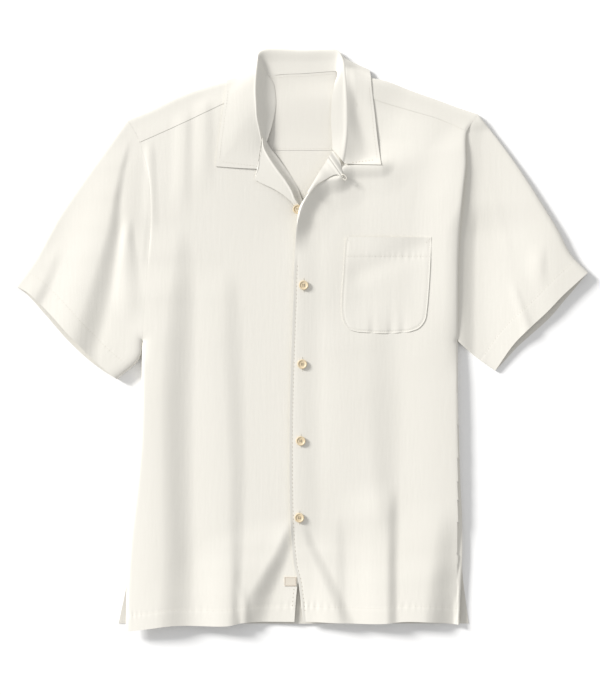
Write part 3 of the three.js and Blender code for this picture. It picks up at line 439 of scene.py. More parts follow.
class Wire:
    # an output socket that takes part in sums
    def __init__(self, kit, socket):
        self.kit = kit
        self.socket = socket

    def sum(self, operation, first, second):
        return self.kit.add("Math", {"operation": operation}, {0: first, 1: second})

    def __add__(self, other): return self.sum("ADD", self, other)
    def __radd__(self, other): return self.sum("ADD", other, self)
    def __mul__(self, other): return self.sum("MULTIPLY", self, other)
    def __rmul__(self, other): return self.sum("MULTIPLY", other, self)


class Kit:
    def __init__(self, name):
        self.material = bpy.data.materials.new(name)
        self.material.use_nodes = True
        self.tree = self.material.node_tree
        self.tree.nodes.clear()

    def add(self, kind, settings=None, values=None, out=0):
        made = self.tree.nodes.new("ShaderNode" + kind)
        for key, value in (settings or {}).items():
            setattr(made, key, value)
        for key, value in (values or {}).items():
            if isinstance(value, Wire):
                self.tree.links.new(value.socket, made.inputs[key])
            else:
                made.inputs[key].default_value = value
        return Wire(self, made.outputs[out])

    def finish(self, shader):
        output = self.tree.nodes.new("ShaderNodeOutputMaterial")
        self.tree.links.new(shader.socket, output.inputs["Surface"])
        return self.material


clothLook = {
    "tone": (0.775, 0.753, 0.696, 1), "toneDeep": (0.758, 0.735, 0.672, 1),
    "threadsPerMetre": 1800, "weaveHeight": 0.00003, "slubHeight": 0.00025, "roughness": 0.58, "sheen": 0.12,
}
wrongSideLook = {"tone": (0.73, 0.708, 0.652, 1), "toneDeep": (0.714, 0.69, 0.63, 1)}
tones = {
    # sewing thread: a little darker than the cloth so its stitches read as dots, partly its own tone and partly painted
    # shade of the puckers where they sink in
    "sewing_thread_with_painted_shade": ((0.64, 0.61, 0.54, 1), (0.78, 0.75, 0.68, 1)),
    # pick thread: much darker than the cloth, painted shade of the puckers at each pick; the button threads use it too
    "pick_thread_with_painted_shade": ((0.30, 0.26, 0.19, 1), (0.44, 0.39, 0.30, 1)),
    "tick_thread": ((0.46, 0.41, 0.33, 1), (0.60, 0.55, 0.46, 1)),
    "tab_thread": ((0.36, 0.27, 0.22, 1), (0.50, 0.40, 0.33, 1)),
    "horn_button": ((0.62, 0.49, 0.31, 1), (0.80, 0.68, 0.48, 1)),
    "woven_tab": ((0.70, 0.64, 0.54, 1), (0.82, 0.77, 0.68, 1)),
    "pale_floor": ((0.95, 0.95, 0.95, 1), (0.965, 0.965, 0.965, 1)),
}


def startMaterial(name):
    kit = Kit(name)
    return kit, kit.add("TexCoord", out="Object")


def noise(kit, spot, scale, detail):
    return kit.add("TexNoise", None, {"Vector": spot, "Scale": scale, "Detail": detail})


def blend(kit, factor, pair):
    return kit.add("Mix", {"data_type": "RGBA"}, {"Factor": factor, "A": pair[0], "B": pair[1]}, out=2)


def ribs(kit, spot, axis, perMetre):
    split = kit.add("SeparateXYZ", None, {0: spot}, out=axis)
    return kit.add("Math", {"operation": "SINE"}, {0: split * (perMetre * 2 * math.pi)})


def makeClothMaterial(name, look):
    kit, spot = startMaterial(name)
    weaving = ribs(kit, spot, "X", look["threadsPerMetre"]) * ribs(kit, spot, "Y", look["threadsPerMetre"])
    stretched = kit.add("Mapping", None, {"Vector": spot, "Scale": (260, 30, 60)})
    slub = noise(kit, stretched, 1.0, 2.0)
    tone = blend(kit, noise(kit, spot, 9.0, 3.0), (look["tone"], look["toneDeep"]))
    weave = kit.add("Bump", None, {"Strength": 0.35, "Distance": look["weaveHeight"], "Height": weaving})
    bump = kit.add("Bump", None, {"Strength": 0.5, "Distance": look["slubHeight"], "Height": slub, "Normal": weave})
    rough = look["roughness"] - 0.06 + slub * 0.12
    return kit.finish(kit.add("BsdfPrincipled", None, {
        "Base Color": tone, "Roughness": rough, "Normal": bump,
        "Sheen Weight": look["sheen"], "Sheen Roughness": 0.45, "Specular IOR Level": 0.35,
    }))


def makeThreadMaterial(name):
    kit, spot = startMaterial(name)
    twist = noise(kit, spot, 1800.0, 1.0)
    bump = kit.add("Bump", None, {"Strength": 0.4, "Distance": 0.0001, "Height": twist})
    return kit.finish(kit.add("BsdfPrincipled", None, {
        "Base Color": blend(kit, twist, tones[name]), "Roughness": 0.7, "Normal": bump,
    }))


def makeButtonMaterial(name):
    kit, spot = startMaterial(name)
    stretched = kit.add("Mapping", None, {"Vector": spot, "Rotation": (0, 0, 0.6), "Scale": (90, 420, 200)})
    grain = noise(kit, stretched, 1.0, 3.0)
    return kit.finish(kit.add("BsdfPrincipled", None, {
        "Base Color": blend(kit, grain, tones[name]), "Roughness": 0.3 + grain * 0.15,
        "Specular IOR Level": 0.5, "Coat Weight": 0.25,
    }))


def makeTabMaterial(name):
    kit, spot = startMaterial(name)
    rows = ribs(kit, spot, "Y", 1400)
    bump = kit.add("Bump", None, {"Strength": 0.5, "Distance": 0.0002, "Height": rows})
    return kit.finish(kit.add("BsdfPrincipled", None, {
        "Base Color": blend(kit, rows * 0.5 + 0.5, tones[name]), "Roughness": 0.75, "Normal": bump,
    }))


def makeFloorMaterial(name):
    kit, spot = startMaterial(name)
    tone = blend(kit, noise(kit, spot, 3.0, 2.0), tones[name])
    return kit.finish(kit.add("BsdfPrincipled", None, {
        "Base Color": tone, "Roughness": 0.9, "Specular IOR Level": 0.1,
    }))


clothMaterial = makeClothMaterial("camp_cloth", clothLook)
wrongSideMaterial = makeClothMaterial("camp_cloth_wrong_side", {**clothLook, **wrongSideLook})
threadWithPaintedShade = makeThreadMaterial("sewing_thread_with_painted_shade")
pickThreadWithPaintedShade = makeThreadMaterial("pick_thread_with_painted_shade")
tickMaterial = makeThreadMaterial("tick_thread")
tabThreadMaterial = makeThreadMaterial("tab_thread")
buttonMaterial = makeButtonMaterial("horn_button")
tabMaterial = makeTabMaterial("woven_tab")
floorMaterial = makeFloorMaterial("pale_floor")
print("materials made")


# Panels

def withHeight(place, height):
    def full(u, v):
        flat = place(u, v)
        return np.column_stack([flat, height(flat[:, 0], flat[:, 1])])
    return full


def clothPiece(node, mesh, faceUp=True, wrongSideUp=False):
    face, other = (wrongSideMaterial, clothMaterial) if wrongSideUp else (clothMaterial, None)
    made = finishMesh(mesh, node + "_cloth", face, cloth["thick"], (0, 0, 1) if faceUp else None, other)
    return ride(made, node)


hems = {
    "body": 22, "cuffs": 25,    # how deep they are turned up
    "fold": 0.25, "groove": 0.22, "grooveWidth": 1.6, "pucker": 0.22, "puckerReach": 6.0,
    "cuffShare": 0.45,          # of the body hem's relief, at the cuffs
}


def hemRelief(inside, along, depth):
    # inside is the distance from the free edge, along runs with it, depth is how deep the hem is turned up
    double = hems["fold"] * (1 - smoothStep(inside, depth - 1, depth + 1.5))
    groove = hems["groove"] * np.exp(-((inside - depth) / hems["grooveWidth"]) ** 2)
    wave = np.sin(along * 0.78 + 1.9 * np.sin(along * 0.11)) * (0.6 + 0.4 * np.sin(along * 0.047 + 1))
    return double - groove + hems["pucker"] * wave * np.exp(-((inside - depth) / hems["puckerReach"]) ** 2)


def bodyHem(x, y, side):
    rows = np.asarray(sorted(outline["hem" + side]), float)
    return hemRelief(y - np.interp(x, rows[:, 0], rows[:, 1]), x, hems["body"])


def cuffHem(x, y, side):
    inside = distanceTo(pointsAlong(outline["cuff" + side], 60), x, y)
    return hems["cuffShare"] * hemRelief(inside, x + facings[side] * y, hems["cuffs"])


def outerEdge(side, fromY, rows):
    # down the armhole from a height, then down the side
    arm = arms[side]
    return chain(partOf(arm, shareAt(arm, fromY), 1), lineThrough(rows), 0.4)


def makeBack():
    seamY, hemY = cloth["backSeamY"] - 0.3, cloth["hemY"]
    right = outerEdge("Right", seamY, outline["sideRight"][:-1] + [(-256, hemY)])
    left = outerEdge("Left", seamY, outline["sideLeft"][:-1] + [(226, -335), (234, hemY)])

    def top(t):
        start, end = right(np.zeros(1)), left(np.zeros(1))
        return start + (end - start) * np.asarray(t)[:, None]
    bottom = lineThrough([(-256, hemY), (0, hemY), (234, hemY)])
    mesh = gridMesh(80, 110, withHeight(planBetween(top, bottom, right, left), lower))
    return clothPiece("back", mesh, wrongSideUp=True)


def makeYoke():
    # two wraps, each from the back seam over the shoulder fold to the front seam, and the neck between
    feet = [line(np.array([shareAt(line, cloth["backSeamY"])]))[0] for line in arms.values()]
    shoulder = {side: lineThrough(outline["shoulder" + side]) for side in arms}
    seam = {side: lineThrough(outline["yokeSeam" + side]) for side in arms}
    footShare = {"Right": (1 / 3, 0.0), "Left": (2 / 3, 1.0)}
    inset = np.array([0, 1.2])    # from the shoulder's outline to where its fold starts
    lowerRows, foldRows, upperRows = 44, 6, 26
    total = lowerRows + foldRows + upperRows

    def footAt(share):
        return feet[0] + (feet[1] - feet[0]) * share[:, None]

    def armPull(arm, start, end, share, u):
        # brings the outermost columns from a straight line onto the armhole
        straight = start + (end - start) * share[:, None]
        curve = arm(np.linspace(0, 1, 2001))
        onArm = np.interp(-straight[:, 1], -curve[:, 1], curve[:, 0])
        return np.clip(1 - (1 - u) * 2, 0, 1) ** 2 * (onArm - straight[:, 0])

    def wrap(side):
        footA, footB = footShare[side]
        arm = arms[side]

        def place(u, v):
            # u from the neck to the arm; v up the inside, round the fold and down the front
            foot = footAt(footA + (footB - footA) * u)
            end = shoulder[side](u) - inset
            rows = v * total
            a = np.clip(rows / lowerRows, 0, 1)
            b = np.clip((rows - lowerRows) / foldRows, 0, 1)
            c = np.clip((rows - lowerRows - foldRows) / upperRows, 0, 1) ** 1.15
            armEnd = shoulder[side](np.ones_like(u)) - inset
            flat = foot + (end - foot) * a[:, None]
            flat[:, 0] += armPull(arm, footAt(np.full_like(u, footB)), armEnd, a, u)
            top = end + (seam[side](u) - end) * c[:, None]
            top[:, 0] += armPull(arm, armEnd, seam[side](np.ones_like(u)), c, u)
            zTop = upper(top[:, 0], top[:, 1]) + 0.45 * smoothStep(c, 0.3, 1)
            low, high = lower(end[:, 0], end[:, 1]), upper(end[:, 0], end[:, 1])
            turn = end + np.sin(np.pi * b)[:, None] * inset
            zTurn = (low + high) / 2 - (high - low) / 2 * np.cos(np.pi * b)
            parts = [np.column_stack(pair) for pair in
                     ((flat, lower(flat[:, 0], flat[:, 1])), (turn, zTurn), (top, zTop))]
            inside, turning = (rows <= lowerRows)[:, None], (rows < lowerRows + foldRows)[:, None]
            return np.where(inside, parts[0], np.where(turning, parts[1], parts[2]))
        return place

    def neck(u, v):
        foot = footAt(1 / 3 + u / 3)
        top = lineThrough(outline["neckBack"])(u)
        edge = np.clip(1 - np.minimum(u, 1 - u) / 0.15, 0, 1)[:, None]
        start = np.zeros_like(u)
        corner = np.where((u < 0.5)[:, None], shoulder["Right"](start), shoulder["Left"](start))
        end = top + (corner - inset - top) * smoothStep(edge, 0, 1)
        return foot + (end - foot) * v[:, None]

    whole = gridMesh(76, total, wrap("Right"))
    for extra in (gridMesh(76, total, wrap("Left")), gridMesh(60, lowerRows, withHeight(neck, lower))):
        data = bpy.data.meshes.new("part")
        extra.to_mesh(data)
        extra.free()
        whole.from_mesh(data)
        bpy.data.meshes.remove(data)
    return clothPiece("yoke", whole, wrongSideUp=True)


turnUnder = {"share": 0.06, "inset": 3.5, "seamInset": 0.8, "ventTop": -340}


def sideTurn(y, z, facing):
    # how far the sheet goes down under its outer edge, and how far in
    alongSide = 1 - smoothStep(y, -25, 5)
    free = smoothStep(y, turnUnder["ventTop"] - 12, turnUnder["ventTop"] + 8)
    toSleeve = np.where(facing > 0, (z - cloth["topZ"] - armholes["sleeveFoot"] + 0.6) * leftArmTop(y), 0.8)
    depth = np.maximum(0.5, toSleeve) * (1 - alongSide) + (z - cloth["topZ"]) * alongSide
    inset = turnUnder["seamInset"] + (turnUnder["inset"] - turnUnder["seamInset"]) * alongSide * free
    return 0.5 + (depth - 0.5) * free, inset


def makeFront(side, height):
    tuck = 1.5    # of its top, in under the yoke's seam
    facing = facings[side]
    topRows = [(x, y + tuck) for x, y in outline["yokeSeam" + side]]
    hemLine = lineThrough(outline["hem" + side])
    outer = outerEdge(side, topRows[-1][1], outline["side" + side])
    centreLine = lineThrough([topRows[0]] + outline["centre" + side][1:])
    plan = planBetween(lineThrough(topRows), lambda t: hemLine(1 - np.asarray(t)), centreLine, outer)

    def place(u, v):
        open_ = 1 - turnUnder["share"]
        flat = plan(crowded(np.clip(u / open_, 0, 1)), v)
        z = height(flat[:, 0], flat[:, 1]) + bodyHem(flat[:, 0], flat[:, 1], side)
        angle = np.clip((u - open_) / turnUnder["share"], 0, 1) * np.pi / 2
        depth, inset = sideTurn(flat[:, 1], z, facing)
        x = flat[:, 0] - facing * inset * (1 - np.cos(angle))
        return np.column_stack([x, flat[:, 1], z - depth * np.sin(angle)])
    return clothPiece("front_" + side.lower(), gridMesh(116, 300, place))


def makeSleeve(side, sliver):
    # sliver is how far the lower sheet shows beyond the cuff
    shift = np.array([0.15 * facings[side], 0.0])
    outer, under = (lineThrough([tuple(np.array(rows[0]) + shift)] + rows[1:])
                    for rows in (outline["sleeveOuter" + side], outline["sleeveLower" + side]))
    cuff = lineThrough(outline["cuff" + side])
    plan = planBetween(lambda t: arms[side](t) + shift, cuff, outer, under)
    inset = 1.2
    foldShare = 0.03

    def place(u, v):
        # u runs once around the tube: upper sheet, under fold, lower sheet, outer fold
        onTop = u < 0.5
        run = np.where(onTop, 2 * u, 2 * u - 1)
        share = crowded(np.clip((run - foldShare) / (1 - 2 * foldShare), 0, 1), 0.5)
        share = np.where(onTop, share, 1 - share)
        atStart, atEnd = plan(np.zeros_like(u), v), plan(np.ones_like(u), v)
        margin = inset / np.linalg.norm(atStart - atEnd, axis=1)
        xy = plan(margin + (1 - 2 * margin) * share, v)
        out = cuff(np.ones(1)) - cuff(np.zeros(1))
        out = np.column_stack([out[:, 1], -out[:, 0]]) * facings[side] / np.linalg.norm(out)
        below = np.where(onTop, 0, np.sin(np.pi * share) ** 0.8) * smoothStep(v, 0.8, 1)
        xy = xy - out * (sliver * below)[:, None]
        top = upper(xy[:, 0], xy[:, 1]) + cuffHem(xy[:, 0], xy[:, 1], side)
        low = lower(xy[:, 0], xy[:, 1])
        # folds at both ends of the run
        early = run < foldShare
        late = run > 1 - foldShare
        bend = np.where(early, (foldShare - run) / foldShare, np.where(late, (run - 1 + foldShare) / foldShare, 0))
        angle = bend * np.pi / 2
        out = np.where(np.where(onTop, early, late)[:, None], atStart, atEnd) - xy
        xy = xy + out * np.sin(angle)[:, None]
        middle, reach = (top + low) / 2, (top - low) / 2
        turned = np.where(onTop, middle + reach * np.cos(angle), middle - reach * np.cos(angle))
        return np.column_stack([xy, np.where(bend > 0, turned, np.where(onTop, top, low))])
    return clothPiece("sleeve_" + side.lower(), gridMesh(190, 110, place), faceUp=False)


backPiece = makeBack()
yokePiece = makeYoke()
frontRight = makeFront("Right", upper)
frontLeft = makeFront("Left", upperFront)
sleeveRight = makeSleeve("Right", 7.0)
sleeveLeft = makeSleeve("Left", 9.0)
print("panels made")


# Collar and lapels, from sections: inner edge, crest and outer edge, each x y z, then
# tilt of the crest, radius of the roll, sag, corner, whether the leaf lies under the yoke, and
# how softly it leaves the crest
collarSections = [
    (-49, 275.5, 6.6, -55.5, 277.5, 10.2, -62, 238.5, 10.2, 90, 1.6, 0.4, 0, 0, 1),
    (-43, 294, 4.2, -59, 296, 12.4, -92, 240, 10.5, 90, 2, 0.4, 0, 0, 1),
    (-39, 310, 3, -62, 311, 14, -120, 242, 10.2, 88, 2.4, 0.4, 1, 0, 1),
    (-36, 329, 3.1, -63, 328, 15, -116, 274, 10.8, 85, 2.6, 0.4, 0, 0, 1),
    (-37, 346, 3.1, -64, 348, 15, -110, 316, 11, 80, 2.6, 0.4, 0, 0, 1),
    (-40, 360, 3.1, -63, 372, 14, -106, 346, 9.6, 70, 2.4, 0.45, 0, 0, 1),
    (-46, 369, 2.9, -62, 390, 11, -102, 370, 4.6, 45, 2.2, 0.6, 0, 0, 0.5),
    (-47, 369.6, 2.7, -60, 401, 7.6, -95, 372, 0.8, 25, 2, 0.8, 0, 1, 0),
    (-42, 369.6, 2.65, -52, 406, 4.6, -77, 360, 0.6, 8, 1.9, 0.98, 0, 1, 0),
    (-25, 371.4, 2.6, -36, 407, 3, -45, 350, 0.6, 2, 1.9, 0.98, 0, 1, 0),
    (1, 372.4, 2.6, -2, 405.5, 2.5, 0, 347, 0.6, 0, 1.85, 0.98, 0, 1, 0),
    (28, 374.4, 2.6, 28, 406.5, 2.9, 40, 350, 0.6, 2, 1.9, 0.98, 0, 1, 0),
    (44, 375.6, 3.2, 46, 406, 4.6, 66, 362, 0.6, 8, 1.9, 0.98, 0, 1, 0),
    (50, 374, 4.5, 54, 400, 7.6, 86, 375, 0.8, 25, 2, 0.8, 0, 1, 0.5),
    (50, 368, 6.9, 58, 390, 9.2, 95, 376, 4.6, 45, 3, 0.8, 0, 0, 1),
    (46, 356, 9.1, 60, 376, 10.4, 98, 350, 6, 70, 3, 1.1, 0, 0, 1),
    (42, 334, 10.3, 62, 347, 11.1, 102, 318, 6, 80, 3, 1.15, 0, 0, 1),
    (41, 310, 10.8, 63, 315, 11.7, 106, 282, 6.2, 85, 3, 1.2, 0, 0, 1),
    (42, 288, 11.5, 62.5, 288, 12.6, 111, 244, 8.4, 88, 3, 1.15, 1, 0, 1),
    (43, 273, 12.6, 60, 266, 14.8, 84, 244.5, 12, 88, 3, 0.85, 0, 0, 1),
    (43, 266, 13.4, 57, 249, 17, 60.5, 245.5, 16.6, 80, 1.4, 0.5, 0, 0, 1),
]
lapelRightSections = [
    (-49, 277.5, 7.2, -54.5, 281.5, 11.2, -60.4, 239, 11, 90, 1.6, 0.4, 0, 0, 1),
    (-43.5, 268, 4.4, -52.5, 268, 11, -66, 223.5, 10.2, 90, 1.8, 0.4, 1, 0, 1),
    (-33.5, 255, 3.2, -44, 252, 11.2, -54, 217.5, 10.2, 90, 1.9, 0.4, 0, 0, 1),
    (-21.5, 239, 2.6, -33, 236, 11.2, -41, 211.5, 10.2, 90, 1.9, 0.4, 0, 0, 1),
    (-11.5, 224, 2.6, -22.5, 222, 11, -28, 204, 10.2, 90, 1.8, 0.4, 0, 0, 1),
    (-4.5, 211, 3.2, -14, 208, 10.6, -18, 196, 9.8, 90, 1.7, 0.4, 0, 0, 1),
    (-1, 200, 4.2, -9.5, 197, 10, -12, 190, 9.2, 90, 1.5, 0.4, 0, 0, 1),
    (3, 191, 5, -3, 188, 8.6, -6, 182, 8, 90, 1.2, 0.4, 0, 0, 1),
]
# the standing lapel goes from its root line to its free edge: root x y, edge x y, drop to the root, corner
lapelLeftSections = [
    (43.5, 263.5, 54.5, 246.5, 0.6, 0),
    (38, 255, 57.5, 226.5, 0.8, 1),
    (33, 246, 47, 230, 0.8, 0),
    (25, 234, 33, 223, 0.6, 0),
    (17, 220, 21, 215, 0.3, 0),
    (8, 205, 11, 202, 0.2, 0),
]
lapelRoot = 1.6    # its edge above the front
lapelGorge = 16.8  # its height where it meets the collar


def sectionValue(rows, column, t, sharp):
    rows = np.asarray(rows, float)
    last = len(rows) - 1
    i = np.minimum(t.astype(int), last - 1)
    part = t - i
    value = rows[:, column]
    corner = rows[:, sharp] > 0 if sharp is not None else np.zeros(len(rows), bool)
    here, there = value[i], value[i + 1]
    before = value[np.maximum(i - 1, 0)]
    after = value[np.minimum(i + 2, last)]
    leave = np.where((i == 0) | corner[i], there - here, (there - before) / 2)
    arrive = np.where((i + 1 == last) | corner[i + 1], there - here, (after - here) / 2)
    p2, p3 = part ** 2, part ** 3
    return here * (2 * p3 - 3 * p2 + 1) + leave * (p3 - 2 * p2 + part) + there * (3 * p2 - 2 * p3) + arrive * (p3 - p2)


leafClear = {"height": 1.2, "margin": 1.5, "slope": 0.8}    # how a leaf stays above what it lies on


def turnedPlace(rows):
    def place(u, v):
        t = u * (len(rows) - 1)
        at = [sectionValue(rows, k, t, 12 if 6 <= k <= 8 else None) for k in range(15)]
        inner, crest, outer = (np.column_stack(at[k:k + 3]) for k in (0, 3, 6))
        tilt, turn, sag, under = np.radians(at[9]), at[10][:, None], at[11], at[13]
        away = (crest - inner) * (1, 1, 0)
        away /= np.linalg.norm(away, axis=1, keepdims=True)
        up = np.array([0, 0, 1.0])
        lift = away * np.cos(tilt)[:, None] + up * np.sin(tilt)[:, None]
        sideways = -away * np.sin(tilt)[:, None] + up * np.cos(tilt)[:, None]
        centre = crest - lift * turn
        rollIn, rollOut = centre + sideways * turn, centre - sideways * turn
        # a soft crest falls gently outwards, and one that faces the light also comes up to it gently
        soft = at[14][:, None]
        lit = soft * smoothStep(crest[:, 0], 20, 50)[:, None]
        outwards = (outer - crest) * (1, 1, 0)
        outwards /= np.linalg.norm(outwards, axis=1, keepdims=True)
        rollOut = rollOut + (crest + outwards * 3.5 - up * (0.35 + 0.4 * lit) - rollOut) * soft
        rollIn = rollIn + (crest - away * 5 - up * 0.5 - rollIn) * lit
        midIn = (rollIn + inner) / 2
        midIn[:, 2] -= (rollIn[:, 2] - inner[:, 2]) * 0.2 * (1 - lit[:, 0])
        midOut = rollOut + (outer - rollOut) * (0.5 - 0.05 * lit)
        midOut[:, 2] = rollOut[:, 2] + (outer[:, 2] - rollOut[:, 2]) * sag
        points = np.stack([inner, midIn, rollIn, crest, rollOut, midOut, outer], axis=1)
        result = np.empty((len(u), 3))
        for value in np.unique(v):
            mask = v == value
            result[mask] = roundLine(points[mask], value * 6)
        x, y = result[:, 0], result[:, 1]
        below = yokeEdgeY(x) - y
        clearY = y - np.maximum(0, leafClear["margin"] - below)
        body = upper(x, clearY)
        surface = np.where(x > 0, np.maximum(body, upperFront(x, clearY)), body)
        over = surface + leafClear["height"] - leafClear["slope"] * np.maximum(0, -below)
        tucked = (v > 0.5) & (under > 0.5)
        result[:, 2] = np.where(tucked & (below > 0), np.minimum(result[:, 2], cloth["backZ"]), result[:, 2])
        rested = over + 0.7 * np.logaddexp(0, (result[:, 2] - over) / 0.7)
        settled = result[:, 2] + (rested - result[:, 2]) * smoothStep(v, 0.55, 0.8)
        result[:, 2] = np.where((v > 0.5) & ~tucked, settled, result[:, 2])
        result[:, 2] = np.maximum(result[:, 2], cloth["backZ"])
        return result
    return place


def standingLapel(u, v):
    t = u * (len(lapelLeftSections) - 1)
    root = np.column_stack([sectionValue(lapelLeftSections, k, t, None) for k in (0, 1)])
    edge = np.column_stack([sectionValue(lapelLeftSections, k, t, 5) for k in (2, 3)])
    drop = sectionValue(lapelLeftSections, 4, t, None)
    flat = root + (edge - root) * v[:, None]
    top = upperFront(edge[:, 0], edge[:, 1]) + lapelRoot
    top = top + (lapelGorge - top) * (1 - smoothStep(u, 0, 0.2))
    return np.column_stack([flat, top - drop * (1 - v) ** 2 + 0.5 * np.sin(np.pi * v)])


collarPiece = clothPiece("collar", gridMesh(300, 72, turnedPlace(collarSections)), faceUp=False)
lapelRight = clothPiece("lapel_right", gridMesh(60, 48, turnedPlace(lapelRightSections)), faceUp=False)
lapelLeft = clothPiece("lapel_left", gridMesh(60, 20, standingLapel), faceUp=False)
print("collar and lapels made")


# Pocket

pocket = {
    "top": [(62, 144), (121, 143), (181, 143)],
    "bottom": [(78, 11), (115, 9), (150, 11)],
    "left": [(62, 144), (58, 86), (56, 43), (59, 25), (66, 15), (78, 11)],
    "right": [(181, 143), (179, 96), (175, 43), (172, 27), (163, 16), (150, 11)],
    "topY": 143.5, "hem": 27.0, "hemShare": 0.6, "gape": 2.2, "stitchInset": 2.2, "edgeGroove": 0.35, "sag": 1.1,
    "crease": [(80, 92), (124, 112), (172, 134)], "puckers": (99, 125, 142), "puckerDepth": 0.9,
}
pocketEdge = np.concatenate([pointsAlong(pocket["left"], 40), pointsAlong(pocket["bottom"], 18, 0.05, 0.95),
                             pointsAlong(pocket["right"], 40, 1, 0)])


def pocketHeight(x, y):
    gape = pocket["gape"] * np.exp(-(144 - y) / 30) * np.clip(np.sin(np.pi * (x - 56) / 125), 0, 1)
    hem = pocket["hemShare"] * hemRelief(pocket["topY"] - y, x, pocket["hem"])
    fromStitch = distanceTo(pocketEdge, x, y) - pocket["stitchInset"]
    edge = pocket["edgeGroove"] * np.exp(-(fromStitch / 1.3) ** 2) * smoothStep(143 - y, 2, 8)
    sag = pocket["sag"] * np.exp(-((distanceTo(np.array(pocket["crease"], float), x, y)) / 16) ** 2)
    low = sum(pocket["puckerDepth"] * np.exp(-((x - px) / 5) ** 2) * np.exp(-(y - 10) / 16) for px in pocket["puckers"])
    return upperFront(x, y) + cloth["thick"] + 0.3 + gape + hem - edge - sag - low


pocketPlan = planBetween(*(lineThrough(pocket[k]) for k in ("top", "bottom", "left", "right")))
pocketPiece = clothPiece("pocket", gridMesh(76, 80, withHeight(pocketPlan, pocketHeight)))
print("pocket made")


# Buttons

button = {
    "diameter": 13.4, "thick": 2.6, "hole": 0.75, "holeApart": 1.6,
    "places": [(-5.5, 182), (3, 76), (1, -34), (-1, -141), (-3, -248)],
    "openHeight": 11.4,    # of the top one, which isn't buttoned
    # from the middle of its back to the middle of its face, as shares of its radius and half its thickness
    "profile": [(0, -1), (0.72, -1), (0.95, -0.4), (1, 0.25), (0.97, 0.75), (0.88, 1), (0.76, 0.9), (0.68, 0.45),
                (0.55, 0.3), (0.4, 0.42), (0, 0.42)],
}


def makeButton(number, x, y, z):
    radius, half = button["diameter"] / 2, button["thick"] / 2
    mesh = bmesh.new()
    verts = [mesh.verts.new((radius * out, 0, half * up)) for out, up in button["profile"]]
    edges = [mesh.edges.new(pair) for pair in zip(verts[:-1], verts[1:])]
    bmesh.ops.spin(mesh, geom=verts + edges, cent=(0, 0, 0), axis=(0, 0, 1), angle=2 * math.pi, steps=40,
                   use_merge=True)
    bmesh.ops.remove_doubles(mesh, verts=mesh.verts, dist=0.001)
    bmesh.ops.translate(mesh, vec=(x, y, z), verts=mesh.verts)
    piece = finishMesh(mesh, f"button_{number}_horn", buttonMaterial)
    cutter = bmesh.new()
    away = button["holeApart"] / 1.4
    for dx, dy in ((-1, -1), (1, -1), (1, 1), (-1, 1)):
        spot = Matrix.Translation((x + dx * away, y + dy * away, z))
        bmesh.ops.create_cone(cutter, cap_ends=True, segments=12, radius1=button["hole"], radius2=button["hole"],
                              depth=6, matrix=spot)
    cut = finishMesh(cutter, "cutter", buttonMaterial)
    holes = piece.modifiers.new("holes", "BOOLEAN")
    holes.object = cut
    holes.solver = "EXACT"
    made = bpy.data.meshes.new_from_object(piece.evaluated_get(bpy.context.evaluated_depsgraph_get()))
    piece.modifiers.clear()
    piece.data = made
    bpy.data.objects.remove(cut)
    return ride(piece, f"button_{number}")


def makeButtons():
    spots = []
    for number, (x, y) in enumerate(button["places"], 1):
        rest = float(upperFront(np.array([x]), np.array([y]))[0]) + cloth["thick"] / 2 + 0.4 + button["thick"] / 2
        z = button["openHeight"] if number == 1 else rest
        makeButton(number, x, y, z)
        spots.append((x, y, z + button["thick"] * 0.21 + 0.1))
    return spots


buttonSpots = makeButtons()
print("buttons made")


# Stitches

stitch = {
    "pick": (5.6, 2.2, 0.34, False),    # pitch, length, radius, and whether it lies square to its route
    "top": (4.2, 2.6, 0.26, False),
    "fine": (3.0, 2.0, 0.24, False),
    "hole": (0.9, 2.4, 0.34, True),
    "sew": (0.8, 1.4, 0.36, False),
    "tab": (1.5, 1.2, 0.3, False),
    "tick": (4.6, 3.6, 0.3, True),
}
stitchLift = cloth["thick"] / 2 + 0.1


def evenly(route, pitch):
    route = np.asarray(route, float)
    run = np.concatenate([[0], np.cumsum(np.linalg.norm(np.diff(route, axis=0), axis=1))])
    at = np.arange(pitch / 2, run[-1], pitch)
    return np.column_stack([np.interp(at, run, route[:, k]) for k in range(route.shape[1])])


def sewn(name, runs, material=threadWithPaintedShade):
    # each run is a route in space and a kind of stitch
    mesh = bmesh.new()
    for route, kind in runs:
        pitch, length, radius, across = stitch[kind]
        spots = evenly(route, pitch)
        ways = np.gradient(spots, axis=0)
        for spot, way in zip(spots, ways):
            heading = Vector((-way[1], way[0], 0)) if across else Vector(way)
            turn = heading.to_track_quat("X", "Z").to_matrix().to_4x4()
            shape = Matrix.Diagonal((length / 2, radius, radius * 0.8, 1))
            bmesh.ops.create_icosphere(mesh, subdivisions=1, radius=1, matrix=Matrix.Translation(spot) @ turn @ shape)
    return ride(finishMesh(mesh, name, material), None)


def onSurface(line, height):
    line = np.asarray(line, float)
    return np.column_stack([line, height(line[:, 0], line[:, 1]) + stitchLift])


def offsetLine(line, by):
    # a line moved sideways, to its left when by is positive
    line = np.asarray(line, float)
    way = np.gradient(line, axis=0)
    way /= np.linalg.norm(way, axis=1, keepdims=True)
    return line + by * np.column_stack([-way[:, 1], way[:, 0]])


def between(line, top, bottom):
    return line[(line[:, 1] <= top) & (line[:, 1] >= bottom)]


def withHem(height, side):
    return lambda x, y: height(x, y) + bodyHem(x, y, side)


def withCuff(side):
    return lambda x, y: upper(x, y) + cuffHem(x, y, side)


